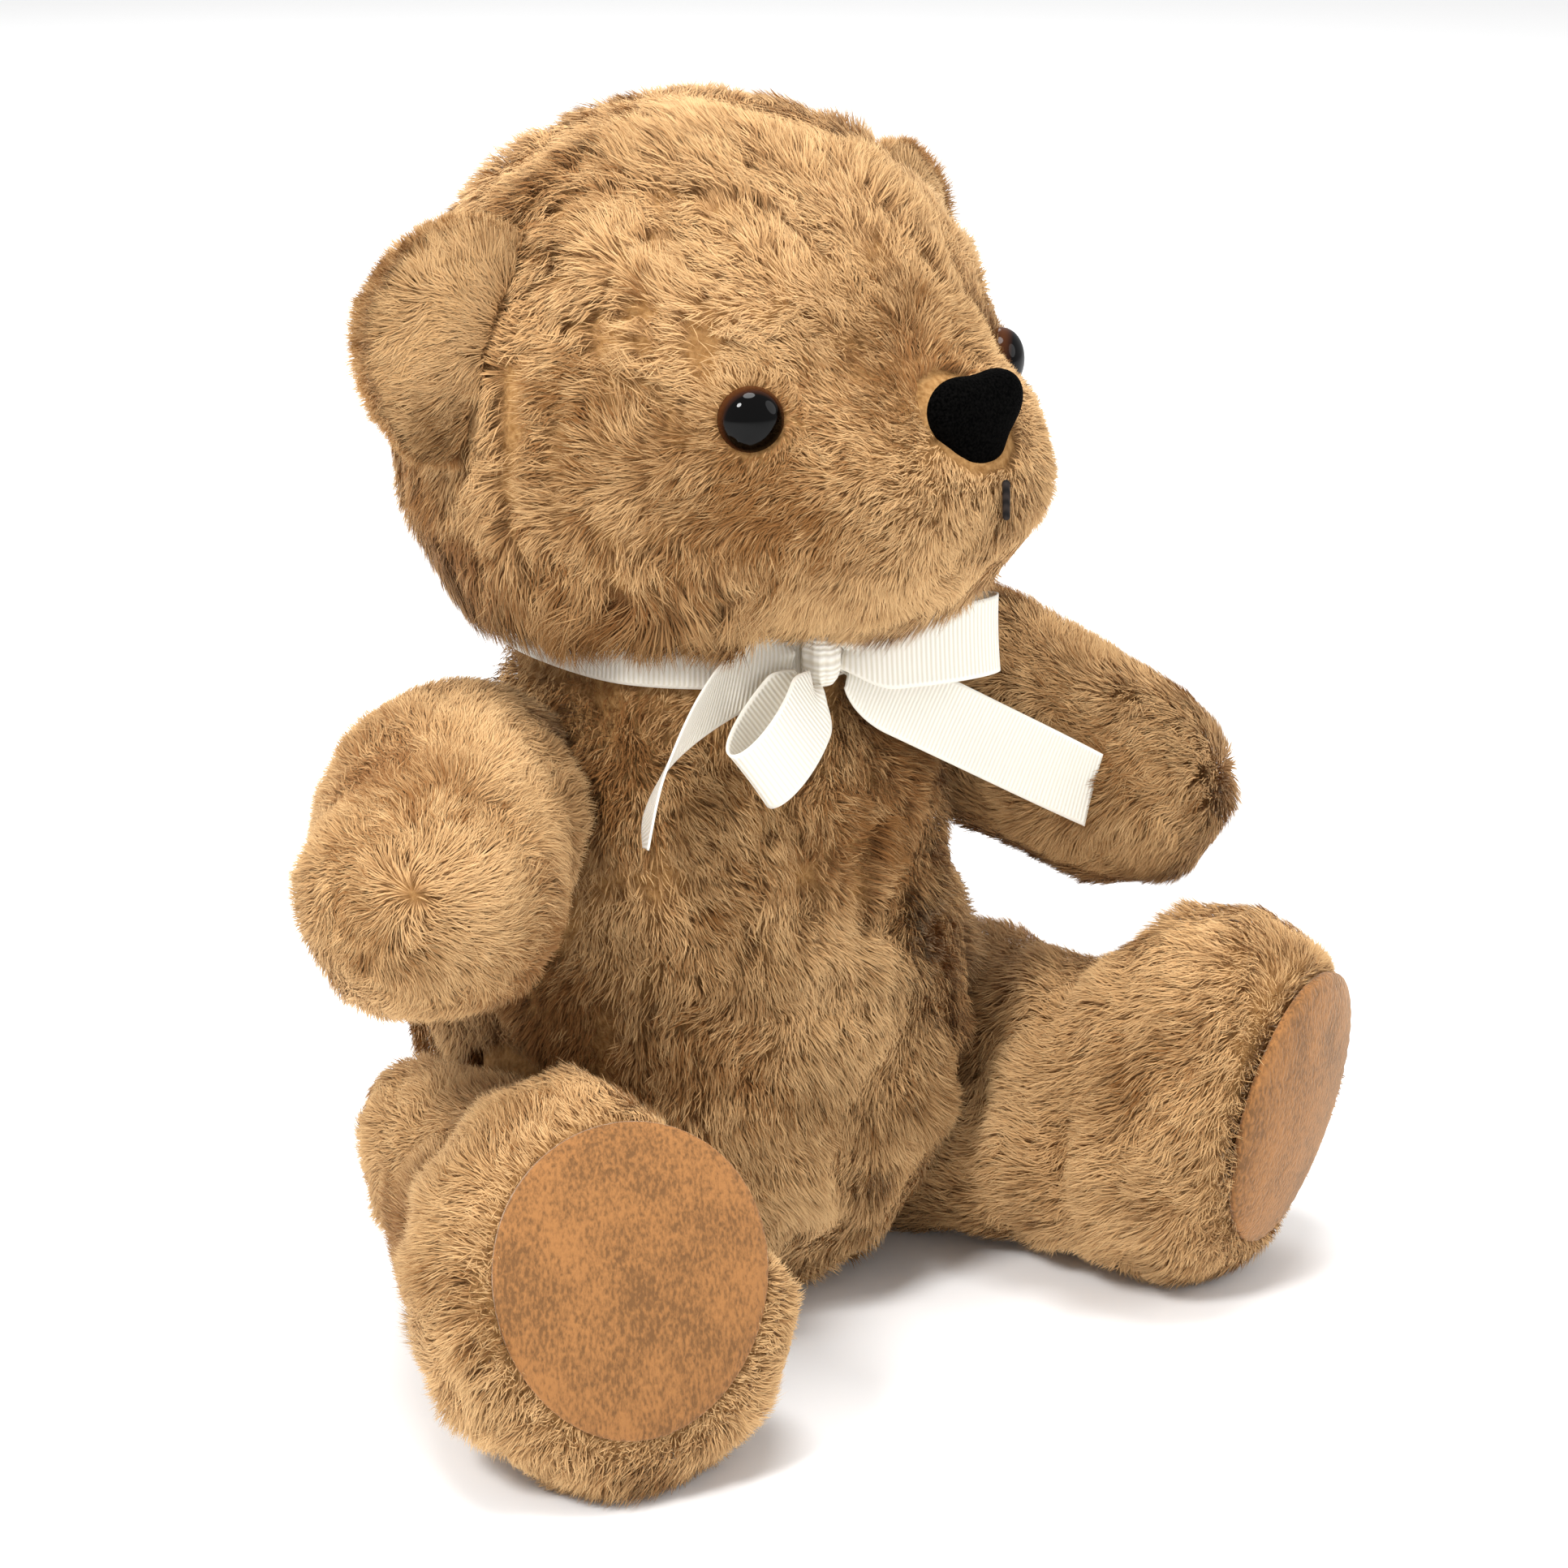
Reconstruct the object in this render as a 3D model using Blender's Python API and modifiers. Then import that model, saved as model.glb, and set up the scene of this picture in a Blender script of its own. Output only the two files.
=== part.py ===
"""Jointed teddy bear, seated, sewn in plush, with a ribbon tied round its neck.

The bear looks along -Y with its own left on +X, and sits on the ground plane. Sizes are
written in millimetres, and every mesh is turned to metres as it is made. Each plush skin is
a hollow shell around its own stuffing. The head, arms and legs turn on disc joints, each a
disc with a post inside the limb, and a washer and a lock ring inside the torso.
"""

import math
from collections import namedtuple

import bmesh
import bpy
from mathutils import Matrix, Vector

NAME = "jointed_teddy_bear"
MM = 0.001

# Clearances
FIT_GAP = 0.3            # between two pieces that touch
PIVOT_GAP = 0.45         # between a post and the hole it turns in

# Plush, stuffing and seams
PLUSH = 7.0              # backing and pile together
SEAM_ROUND = 7.0         # how softly a limb meets its own flat face
FLOOR_ROUND = 2.0        # how softly a skin flattens on the floor
INNER_ROUND = 1.0        # the same inside, where the discs need room

# Head
HEAD_WIDTH, HEAD_DEPTH, HEAD_HEIGHT = 132.0, 124.0, 125.0
HEAD_Z = 194.0
HEAD_TURN = math.radians(9)
MUZZLE_OUT, MUZZLE_DROP = 51.5, 8.0
MUZZLE_WIDTH, MUZZLE_DEPTH, MUZZLE_HEIGHT = 76.0, 62.0, 52.0
NECK_Z = 156.0           # the plane where the head turns on the torso

# Ears
EAR_UP, EAR_FORWARD = 13.0, 12.0
EAR_REACH, EAR_HEIGHT, EAR_THICK = 25.0, 50.0, 14.0
EAR_SWEEP = math.radians(13)

# Face
EYE_DIAMETER, EYE_DOME = 13.5, 4.6
EYE_SPREAD, EYE_RISE = math.radians(36), 9.5
PUPIL_DIAMETER = 11.0
NOSE_WIDTH, NOSE_HEIGHT, NOSE_DOME = 25.0, 20.0, 7.5
NOSE_RISE = 7.5
SHANK_DIAMETER, SHANK_LENGTH = 4.0, 14.0
STITCH_LENGTH, STITCH_DIAMETER = 8.0, 1.6

# Torso
BELLY_WIDTH, BELLY_DEPTH, BELLY_HEIGHT = 120.0, 114.0, 127.0
BELLY_BACK, BELLY_Z, BELLY_SQUARE = 6.0, 58.5, 2.5
CHEST_WIDTH, CHEST_DEPTH, CHEST_HEIGHT = 110.0, 94.0, 90.0
CHEST_Z = 108.0
NECK_DIAMETER, NECK_HEIGHT = 82.0, 88.0

# Arms: the shoulder is a flat face on the torso's side, and the arm reaches out from it
SHOULDER_X, SHOULDER_Y, SHOULDER_Z = 50.0, -4.0, 114.0
SHOULDER_TILT = math.radians(20)
SHOULDER_DIAMETER, SHOULDER_DEPTH = 49.0, 15.0
PAW_OUT, PAW_FORWARD = 41.0, 31.0
LEFT_PAW_DROP, RIGHT_PAW_DROP = 13.0, 1.0
PAW_WIDTH, PAW_HEIGHT, PAW_LENGTH = 46.0, 44.0, 46.0
ELBOW_WIDTH, ELBOW_HEIGHT = 45.0, 43.0

# Legs: the hip is a flat face that leans under the belly
HIP_X, HIP_Y, HIP_Z = 45.0, -6.0, 42.0
HIP_TILT = math.radians(-30)
THIGH_DIAMETER, THIGH_THICK, THIGH_DEPTH = 72.0, 38.0, 16.0
LEFT_SOLE, RIGHT_SOLE = (90.0, -91.0, 39.0), (-78.0, -84.0, 44.0)
LEFT_LEAN, RIGHT_LEAN = math.radians(-9), math.radians(14)
TOES_OUT = math.radians(22)
KNEE_WIDTH, KNEE_LENGTH, KNEE_HEIGHT = 58.0, 62.0, 54.0
KNEE_DROP = 5.0
FOOT_WIDTH, FOOT_LENGTH, FOOT_HEIGHT = 76.0, 60.0, 84.0
PAD_WIDTH, PAD_HEIGHT, PAD_THICK, PAD_CROWN = 54.0, 62.0, 2.4, 2.2

# Disc joints
NECK_DISC, SHOULDER_DISC, HIP_DISC = 38.0, 22.0, 34.0
DISC_THICK, WASHER_THICK, LOCK_THICK = 3.0, 2.4, 2.4
POST_DIAMETER, LOCK_DIAMETER, POST_TAIL = 7.0, 14.0, 2.0

# Ribbon
RIBBON_WIDTH, RIBBON_THICK = 16.0, 0.8
BAND_WIDTH, BAND_DROP = 12.0, 7.8   # drawn in where it goes round the neck
KNOT_WIDTH, KNOT_DEPTH, KNOT_HEIGHT, KNOT_SIDE = 9.0, 8.0, 12.0, -2.5
LEFT_LOOP, RIGHT_LOOP = 40.0, 30.0      # from the knot's middle to the turn
LEFT_TAIL, RIGHT_TAIL = 83.0, 57.0      # from the knot's middle to the cut end
LOOP_OPEN, GATHERED = 6.5, 0.32         # half a loop's depth; a run's width at the knot

# How finely the round forms are meshed, round their pole and along it
HEAD_MESH, TORSO_MESH, ARM_MESH, LEG_MESH = (32, 20), (30, 20), (20, 13), (24, 16)
CAVITY_MESH, LIMB_CAVITY_MESH = (18, 12), (14, 10)

UP = Vector((0, 0, 1))
CENTRE = Vector((0, 0, 0))

Ball = namedtuple("Ball", "at half turn square", defaults=(Matrix.Identity(3), 2.0))
Form = namedtuple("Form", "at turn balls faces merge")


# ---------------------------------------------------------------- scene and materials

def clear_scene():
    for item in list(bpy.data.objects):
        bpy.data.objects.remove(item, do_unlink=True)


def new_collection(name):
    group = bpy.data.collections.new(name)
    bpy.context.scene.collection.children.link(group)
    return group


def finish(name, colour, roughness, metallic=0.0):
    """A Principled material. The colour is sRGB, 0 to 255."""
    made = bpy.data.materials.get(name)
    if made:
        return made
    made = bpy.data.materials.new(name)
    made.use_nodes = True
    shader = made.node_tree.nodes["Principled BSDF"]
    linear = [((c / 255 + 0.055) / 1.055) ** 2.4 for c in colour]
    shader.inputs["Base Color"].default_value = (*linear, 1)
    shader.inputs["Roughness"].default_value = roughness
    shader.inputs["Metallic"].default_value = metallic
    made.diffuse_color = (*linear, 1)
    return made


def plush():
    return finish("golden_plush", (196, 146, 92), 0.95)


def stuffing():
    return finish("polyester_stuffing", (236, 234, 228), 1.0)


def velour():
    return finish("tan_velour", (206, 160, 118), 0.9)


def joint_plastic():
    return finish("joint_plastic", (232, 231, 226), 0.45)


def black_plastic():
    return finish("black_plastic", (14, 12, 12), 0.12)


def amber_plastic():
    return finish("amber_plastic", (74, 38, 16), 0.08)


def flock():
    return finish("black_flock", (24, 22, 22), 0.85)


def thread():
    return finish("black_thread", (30, 24, 20), 0.7)


def grosgrain():
    return finish("cream_ribbon", (232, 220, 190), 0.6)


# ---------------------------------------------------------------- placing and cutting

class Bench:
    """Where finished parts and cutters go, and the empty that each part hangs from."""

    def __init__(self):
        self.parts = new_collection(NAME)
        self.cutters = new_collection("cutters")
        self.pivot = None

    def body(self, name, at):
        self.pivot = bpy.data.objects.new(name, None)
        self.pivot.location = at * MM
        self.parts.objects.link(self.pivot)
        bpy.context.view_layer.update()

    def add(self, name, mesh, material, place):
        """Links a part whose mesh is in millimetres about its own place."""
        item = bpy.data.objects.new(name, mesh)
        mesh.transform(Matrix.Scale(MM, 4))
        mesh.materials.append(material)
        turned_by = place.to_3x3().to_4x4()
        item.matrix_world = Matrix.Translation(place.translation * MM) @ turned_by
        self.parts.objects.link(item)
        item.parent = self.pivot
        item.matrix_parent_inverse = self.pivot.matrix_world.inverted()
        return item

    def cutter(self, name, mesh, place=Matrix.Identity(4)):
        item = self.add(name, mesh, finish("cutter", (200, 60, 60), 1.0), place)
        self.parts.objects.unlink(item)
        self.cutters.objects.link(item)
        item.display_type = "WIRE"
        item.hide_render = True
        return item


def cut(target, *cutters):
    for cutter in cutters:
        step = target.modifiers.new("cut_" + cutter.name, "BOOLEAN")
        step.operation = "DIFFERENCE"
        step.solver = "EXACT"
        step.object = cutter


def place(at, axis=UP, near=UP):
    """A place at a point, its Z along axis and its Y as near to the third direction as it goes."""
    z = axis.normalized()
    if abs(z.dot(near)) > 0.99:
        near = Vector((0, 1, 0))
    x = near.cross(z).normalized()
    turn = Matrix((x, z.cross(x), z)).transposed().to_4x4()
    return Matrix.Translation(at) @ turn


def mesh_of(bm, name, smooth=True):
    bm.normal_update()
    bmesh.ops.recalc_face_normals(bm, faces=bm.faces)
    if bm.calc_volume(signed=True) < 0:
        bmesh.ops.reverse_faces(bm, faces=bm.faces)
    for face in bm.faces:
        face.smooth = smooth
    mesh = bpy.data.meshes.new(name)
    bm.to_mesh(mesh)
    bm.free()
    return mesh


# ---------------------------------------------------------------- forms

def ball_gap(point, ball):
    """About how far a point stands outside a ball that is stretched on its own three axes."""
    local = ball.turn.transposed() @ (point - ball.at)
    power = ball.square
    total = sum(abs(local[i] / ball.half[i]) ** power for i in range(3))
    return (total ** (1 / power) - 1) * min(ball.half)


def form_gap(point, form):
    """The balls' gaps, merged so that they meet in a soft hollow."""
    gaps = [ball_gap(point, ball) for ball in form.balls]
    low = min(gaps)
    return low - form.merge * math.log(sum(math.exp((low - gap) / form.merge) for gap in gaps))


def soft_min(a, b, k):
    h = max(k - abs(a - b), 0) / k
    return min(a, b) - h * h * k / 4


def reach(form, start, ray, inset=0.0):
    """How far a ray goes from a point inside to the form's surface, less an inset."""
    near, far = 0.0, 170.0
    for _ in range(26):
        middle = (near + far) / 2
        if form_gap(start + ray * middle, form) + inset < 0:
            near = middle
        else:
            far = middle
    for at, normal, edge in form.faces:
        slope = normal.dot(ray)
        if slope > 0.02:
            level = (normal.dot(at - start) - inset) / slope
            far = soft_min(far, level, INNER_ROUND if inset > 0 else edge)
    return far


def form_mesh(name, form, around, along, origin, inset=0.0):
    """The form's surface in millimetres about its origin, from a UV sphere."""
    bm = bmesh.new()
    bmesh.ops.create_uvsphere(bm, u_segments=around, v_segments=along, radius=1)
    bmesh.ops.triangulate(bm, faces=bm.faces, quad_method="FIXED")
    for vert in bm.verts:
        ray = (form.turn @ vert.co).normalized()
        vert.co = form.at + ray * reach(form, form.at, ray, inset) - origin
    return mesh_of(bm, name)


def turned_mesh(name, profile, steps=20):
    """A profile of (radius, height) points turned once round Z."""
    bm = bmesh.new()
    verts = [bm.verts.new((radius, 0, height)) for radius, height in profile]
    ring = profile[0][0] > 0
    pairs = list(zip(verts, verts[1:] + verts[:1] if ring else verts[1:]))
    edges = [bm.edges.new(pair) for pair in pairs]
    bmesh.ops.spin(bm, geom=verts + edges, cent=(0, 0, 0), axis=(0, 0, 1),
                   angle=math.tau, steps=steps, use_merge=True)
    bmesh.ops.remove_doubles(bm, verts=bm.verts, dist=1e-4)
    return mesh_of(bm, name, smooth=False)


def ring(outer, inner, low, high):
    return [(outer, low), (outer, high), (inner, high), (inner, low)]


def rod(radius, low, high):
    return [(0, low), (radius, low), (radius, high), (0, high)]


# ---------------------------------------------------------------- the bear's forms

def side_way(tilt, side):
    """The outward direction of a shoulder's or a hip's flat face."""
    return Vector((side * math.cos(tilt), 0, math.sin(tilt)))


def shoulder(side):
    return Vector((side * SHOULDER_X, SHOULDER_Y, SHOULDER_Z)), side_way(SHOULDER_TILT, side)


def hip(side):
    return Vector((side * HIP_X, HIP_Y, HIP_Z)), side_way(HIP_TILT, side)


def head_turn():
    return Matrix.Rotation(HEAD_TURN, 3, "Z")


def head_point(left, forward, up):
    """A point given from the head's middle, along the way that the head looks."""
    return Vector((0, 0, HEAD_Z)) + head_turn() @ Vector((left, -forward, up))


def head_form():
    turn = head_turn()
    skull = Ball(head_point(0, 0, 0), (HEAD_WIDTH / 2, HEAD_DEPTH / 2, HEAD_HEIGHT / 2), turn)
    muzzle = Ball(head_point(0, MUZZLE_OUT, -MUZZLE_DROP),
                  (MUZZLE_WIDTH / 2, MUZZLE_DEPTH / 2, MUZZLE_HEIGHT / 2), turn)
    floor = (Vector((0, 0, NECK_Z + FIT_GAP / 2)), -UP, SEAM_ROUND)
    return Form(head_point(0, 18, -3), turn, (skull, muzzle), (floor,), 4.0)


def torso_form():
    belly = Ball(Vector((0, BELLY_BACK, BELLY_Z)), (BELLY_WIDTH / 2, BELLY_DEPTH / 2, BELLY_HEIGHT / 2),
                 square=BELLY_SQUARE)
    chest = Ball(Vector((0, -1, CHEST_Z)), (CHEST_WIDTH / 2, CHEST_DEPTH / 2, CHEST_HEIGHT / 2))
    neck = Ball(Vector((0, 0, NECK_Z - NECK_HEIGHT / 4)),
                (NECK_DIAMETER / 2, NECK_DIAMETER / 2, NECK_HEIGHT / 2))
    faces = [(Vector((0, 0, NECK_Z - FIT_GAP / 2)), UP, SEAM_ROUND), (CENTRE, -UP, FLOOR_ROUND)]
    for side in (1, -1):
        for at, way in (shoulder(side), hip(side)):
            faces.append((at - way * FIT_GAP / 2, way, SEAM_ROUND))
    turn = Matrix.Rotation(math.radians(3), 3, "Z")
    return Form(Vector((0, 0, CHEST_Z * 0.7)), turn, (belly, chest, neck), faces, 3.0)


def arm_form(side):
    at, way = shoulder(side)
    top = at + way * SHOULDER_DEPTH
    paw_at = at + Vector((side * PAW_OUT, -PAW_FORWARD,
                         -(LEFT_PAW_DROP if side > 0 else RIGHT_PAW_DROP)))
    turn = place(top, paw_at - top).to_3x3()
    upper = Ball(top, (SHOULDER_DIAMETER / 2,) * 3)
    elbow = Ball(top.lerp(paw_at, 0.5), (ELBOW_WIDTH / 2, ELBOW_HEIGHT / 2, PAW_LENGTH / 2), turn)
    paw = Ball(paw_at, (PAW_WIDTH / 2, PAW_HEIGHT / 2, PAW_LENGTH / 2), turn)
    face = (at + way * FIT_GAP / 2, -way, SEAM_ROUND)
    return Form(elbow.at, turn, (upper, elbow, paw), (face,), 3.0)


def sole(side):
    """The sole's middle and the way that it faces."""
    level = Vector((side * math.sin(TOES_OUT), -math.cos(TOES_OUT), 0))
    at, lean = (LEFT_SOLE, LEFT_LEAN) if side > 0 else (RIGHT_SOLE, RIGHT_LEAN)
    return Vector(at), level * math.cos(lean) + UP * math.sin(lean)


def leg_form(side):
    at, way = hip(side)
    thigh_at = at + way * THIGH_DEPTH - UP * (HIP_Z - THIGH_DIAMETER / 2) / 2
    sole_at, sole_way = sole(side)
    foot_at = sole_at - sole_way * FOOT_LENGTH / 3
    knee_at = thigh_at.lerp(foot_at, 0.5) - UP * KNEE_DROP
    foot_turn = place(sole_at, sole_way).to_3x3()
    thigh = Ball(thigh_at, (THIGH_DIAMETER / 2, THIGH_DIAMETER / 2, THIGH_THICK / 2),
                 place(at, way).to_3x3())
    knee = Ball(knee_at, (KNEE_WIDTH / 2, KNEE_HEIGHT / 2, KNEE_LENGTH / 2), foot_turn)
    foot = Ball(foot_at, (FOOT_WIDTH / 2, FOOT_HEIGHT / 2, FOOT_LENGTH / 2), foot_turn)
    faces = ((at + way * FIT_GAP / 2, -way, SEAM_ROUND), (sole_at, sole_way, SEAM_ROUND),
             (CENTRE, -UP, FLOOR_ROUND))
    return Form(knee_at, place(at, foot_at - thigh_at).to_3x3(), (thigh, knee, foot), faces, 4.0)


# ---------------------------------------------------------------- skins and stuffing

def skin(bench, name, form, origin, fine, coarse):
    """A plush skin around a cavity, and the cutter that makes the cavity."""
    body = bench.add(name + "_skin", form_mesh(name, form, *fine, origin), plush(),
                     Matrix.Translation(origin))
    hollow = bench.cutter(name + "_cavity", form_mesh(name, form, *coarse, origin, PLUSH),
                          Matrix.Translation(origin))
    cut(body, hollow)
    return body


def fill(bench, name, form, origin, coarse):
    mesh = form_mesh(name, form, *coarse, origin, PLUSH + FIT_GAP)
    return bench.add(name + "_stuffing", mesh, stuffing(), Matrix.Translation(origin))


def joint_heights():
    """Where the disc, washer, lock ring and post lie, from the face between limb and torso."""
    inside = PLUSH + FIT_GAP * 1.5
    washer = -inside
    lock = washer - WASHER_THICK - FIT_GAP
    return inside, washer, lock, lock - LOCK_THICK - POST_TAIL


def disc_joint(bench, name, at, way, disc):
    """The limb's disc and post, with the lock ring that grips the post inside the torso."""
    inside, washer, lock, tail = joint_heights()
    post = POST_DIAMETER / 2
    profile = [(0, tail), (post - 0.6, tail), (post, tail + 0.6), (post, inside),
               (disc / 2, inside), (disc / 2, inside + DISC_THICK), (0, inside + DISC_THICK)]
    spot = place(at, way)
    bench.add(name + "_joint", turned_mesh(name, profile), joint_plastic(), spot)
    grip = ring(LOCK_DIAMETER / 2, post + FIT_GAP, lock - LOCK_THICK, lock)
    bench.add(name + "_lock", turned_mesh(name, grip, 16), joint_plastic(), spot)


def washer(bench, name, at, way, disc):
    _, top, _, _ = joint_heights()
    flat = ring(disc / 2, POST_DIAMETER / 2 + PIVOT_GAP, top - WASHER_THICK, top)
    bench.add(name, turned_mesh(name, flat), joint_plastic(), place(at, way))


def disc_pocket(bench, name, at, way, disc):
    """Room in a limb's stuffing for its disc."""
    inside, _, _, _ = joint_heights()
    room = rod(disc / 2 + FIT_GAP, 0, inside + DISC_THICK + FIT_GAP)
    return bench.cutter(name + "_disc_pocket", turned_mesh(name, room), place(at, way))


def washer_pocket(bench, name, at, way, disc):
    """Room in the torso's stuffing for a washer, a lock ring and the post's end."""
    _, top, lock, tail = joint_heights()
    wide, narrow = disc / 2 + FIT_GAP, LOCK_DIAMETER / 2 + FIT_GAP
    step = lock + FIT_GAP / 2
    room = [(0, tail - FIT_GAP), (narrow, tail - FIT_GAP), (narrow, step),
            (wide, step), (wide, 0), (0, 0)]
    return bench.cutter(name + "_washer_pocket", turned_mesh(name, room), place(at, way))


def joint_hole(bench, name, at, way, clearance, disc, side, thick):
    """A skin's hole for a post, wider inside the skin where the disc or washer lies.

    The side is 1 in a limb and -1 in the torso.
    """
    bore, wide = POST_DIAMETER / 2 + clearance, disc / 2 + FIT_GAP
    near, far = PLUSH + FIT_GAP * 0.8, PLUSH + FIT_GAP * 2 + thick
    hole = [(0, -side * PLUSH), (bore, -side * PLUSH), (bore, side * near),
            (wide, side * near), (wide, side * far), (0, side * far)]
    return bench.cutter(name + "_hole", turned_mesh(name, hole), place(at, way))


# ---------------------------------------------------------------- head

def face_spot(form, turn_out, rise):
    """The point on the head at one turn from where it looks, and the way out of it."""
    level = head_turn() @ Vector((math.sin(turn_out), -math.cos(turn_out), 0))
    start = Vector((0, 0, HEAD_Z + rise))
    return start + level * reach(form, start, level), level


def eye(bench, form, side):
    """An amber dome over a black pupil and shank, in a seat cut in the plush."""
    name = "eye_" + ("left" if side > 0 else "right")
    at, way = face_spot(form, side * EYE_SPREAD, EYE_RISE)
    spot = place(at - way * 2.0, way)
    radius, pupil, shank = EYE_DIAMETER / 2, PUPIL_DIAMETER / 2, SHANK_DIAMETER / 2
    core = pupil + FIT_GAP
    dome = [(radius * math.cos(a), EYE_DOME * math.sin(a) + 0.8)
            for a in (math.radians(15 * i) for i in range(6))]
    lens = ([(core, 0), (radius, 0)] + dome
            + [(0, EYE_DOME + 0.8), (0, 1.9 + FIT_GAP), (core, 1.9 + FIT_GAP)])
    lens = lens[1:] + lens[:1]
    bench.add(name + "_lens", closed_turn(name, lens, 22), amber_plastic(), spot)
    black = [(0, -SHANK_LENGTH), (shank, -SHANK_LENGTH), (shank, 0), (pupil, 0),
             (pupil, 1.9), (0, 1.9)]
    bench.add(name + "_pupil", turned_mesh(name, black, 18), black_plastic(), spot)
    grip_at = -PLUSH - 1.5
    grip = ring(6.0, shank + FIT_GAP, grip_at - 1.6, grip_at)
    bench.add(name + "_washer", turned_mesh(name, grip, 16), joint_plastic(), spot)
    seat = [(0, -PLUSH * 2), (shank + FIT_GAP, -PLUSH * 2), (shank + FIT_GAP, -FIT_GAP),
            (radius + FIT_GAP, -FIT_GAP), (radius + FIT_GAP, 12), (0, 12)]
    room = [(0, -SHANK_LENGTH - 1), (shank + 1, -SHANK_LENGTH - 1), (shank + 1, grip_at - 2.2),
            (6.6, grip_at - 2.2), (6.6, 0), (0, 0)]
    return ((bench.cutter(name + "_seat", turned_mesh(name, seat, 22), spot),
             grip_seat(bench, name, grip_at, spot)),
            bench.cutter(name + "_room", turned_mesh(name, room, 16), spot))


def grip_seat(bench, name, grip_at, spot):
    """A flat place inside the skin for the washer that grips a shank."""
    room = rod(6.0 + FIT_GAP, -SHANK_LENGTH - 1, grip_at + FIT_GAP)
    return bench.cutter(name + "_grip_seat", turned_mesh(name, room, 17), spot)


def closed_turn(name, profile, steps):
    """Turns a profile that meets the axis at two points that stand next to each other."""
    start = next(i for i, point in enumerate(profile)
                 if point[0] == 0 and profile[i - 1][0] == 0)
    return turned_mesh(name, profile[start:] + profile[:start], steps)


def nose_mesh(name, grow, low, domed):
    """A rounded triangle, flat side up, crowned at the front. Y is up on the nose."""
    bm = bmesh.new()
    rings = 5 if domed else 1
    bmesh.ops.create_cone(bm, cap_ends=True, segments=28, radius1=1, radius2=1, depth=1)
    if domed:
        top = [face for face in bm.faces if face.normal.z > 0.9]
        for _ in range(rings - 1):
            made = bmesh.ops.inset_region(bm, faces=top, thickness=1 / rings)
            top = [face for face in top if face.is_valid]
    for vert in bm.verts:
        spread = min(1.0, math.hypot(vert.co.x, vert.co.y))
        angle = math.atan2(vert.co.y, vert.co.x)
        lobe = 1 + 0.10 * math.cos(3 * (angle + math.pi / 2))
        across = (NOSE_WIDTH / 2 + grow) * lobe * spread * math.cos(angle)
        up = (NOSE_HEIGHT / 2 + grow) * lobe * spread * math.sin(angle)
        if vert.co.z < 0:
            height = low
        elif domed:
            height = 1.2 + (NOSE_DOME - 1.2) * math.sqrt(max(0.0, 1 - spread ** 2.4))
        else:
            height = 30.0
        vert.co = Vector((across, up, height))
    return mesh_of(bm, name)


def nose(bench, form):
    at, way = face_spot(form, 0, NOSE_RISE)
    spot = place(at - way * 2.5, way)
    shank = SHANK_DIAMETER / 2
    bench.add("nose", nose_mesh("nose", 0, 0, True), flock(), spot)
    stem = [(0, -SHANK_LENGTH), (shank, -SHANK_LENGTH), (shank, -FIT_GAP - 1.2),
            (6.0, -FIT_GAP - 1.2), (6.0, -FIT_GAP), (0, -FIT_GAP)]
    bench.add("nose_shank", turned_mesh("nose", stem, 18), black_plastic(), spot)
    grip_at = -PLUSH - 2.5
    grip = ring(6.0, shank + FIT_GAP, grip_at - 1.6, grip_at)
    bench.add("nose_washer", turned_mesh("nose", grip, 16), joint_plastic(), spot)
    stem_hole = [(0, -PLUSH * 2), (shank + FIT_GAP, -PLUSH * 2),
                 (shank + FIT_GAP, -2 * FIT_GAP - 1.2), (6.0 + FIT_GAP, -2 * FIT_GAP - 1.2),
                 (6.0 + FIT_GAP, 3), (0, 3)]
    room = [(0, -SHANK_LENGTH - 1), (shank + 1, -SHANK_LENGTH - 1), (shank + 1, grip_at - 2.2),
            (6.6, grip_at - 2.2), (6.6, 0), (0, 0)]
    seat = nose_mesh("nose", FIT_GAP, -FIT_GAP, False)
    return ((bench.cutter("nose_seat", seat, spot),
             bench.cutter("nose_hole", turned_mesh("nose", stem_hole, 18), spot),
             grip_seat(bench, "nose", grip_at, spot)),
            bench.cutter("nose_room", turned_mesh("nose", room, 16), spot))


def mouth_stitch(bench, form):
    """One short upright thread stitch that lies on the muzzle under the nose."""
    rise = NOSE_RISE - NOSE_HEIGHT / 2 - 0.8 - STITCH_LENGTH / 2
    at, way = face_spot(form, 0, rise)
    high, _ = face_spot(form, 0, rise + STITCH_LENGTH / 2)
    low, _ = face_spot(form, 0, rise - STITCH_LENGTH / 2)
    along = (high - low).normalized()
    side = along.cross(way).normalized()
    out = side.cross(along).normalized()
    radius = STITCH_DIAMETER / 2
    bm = bmesh.new()
    bmesh.ops.create_uvsphere(bm, u_segments=14, v_segments=8, radius=radius)
    for vert in bm.verts:
        vert.co.z += math.copysign(STITCH_LENGTH / 2 - radius, vert.co.z)
    bench.add("mouth_stitch", mesh_of(bm, "mouth_stitch"), thread(),
              place(at + out * (radius + FIT_GAP), along, out))


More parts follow.
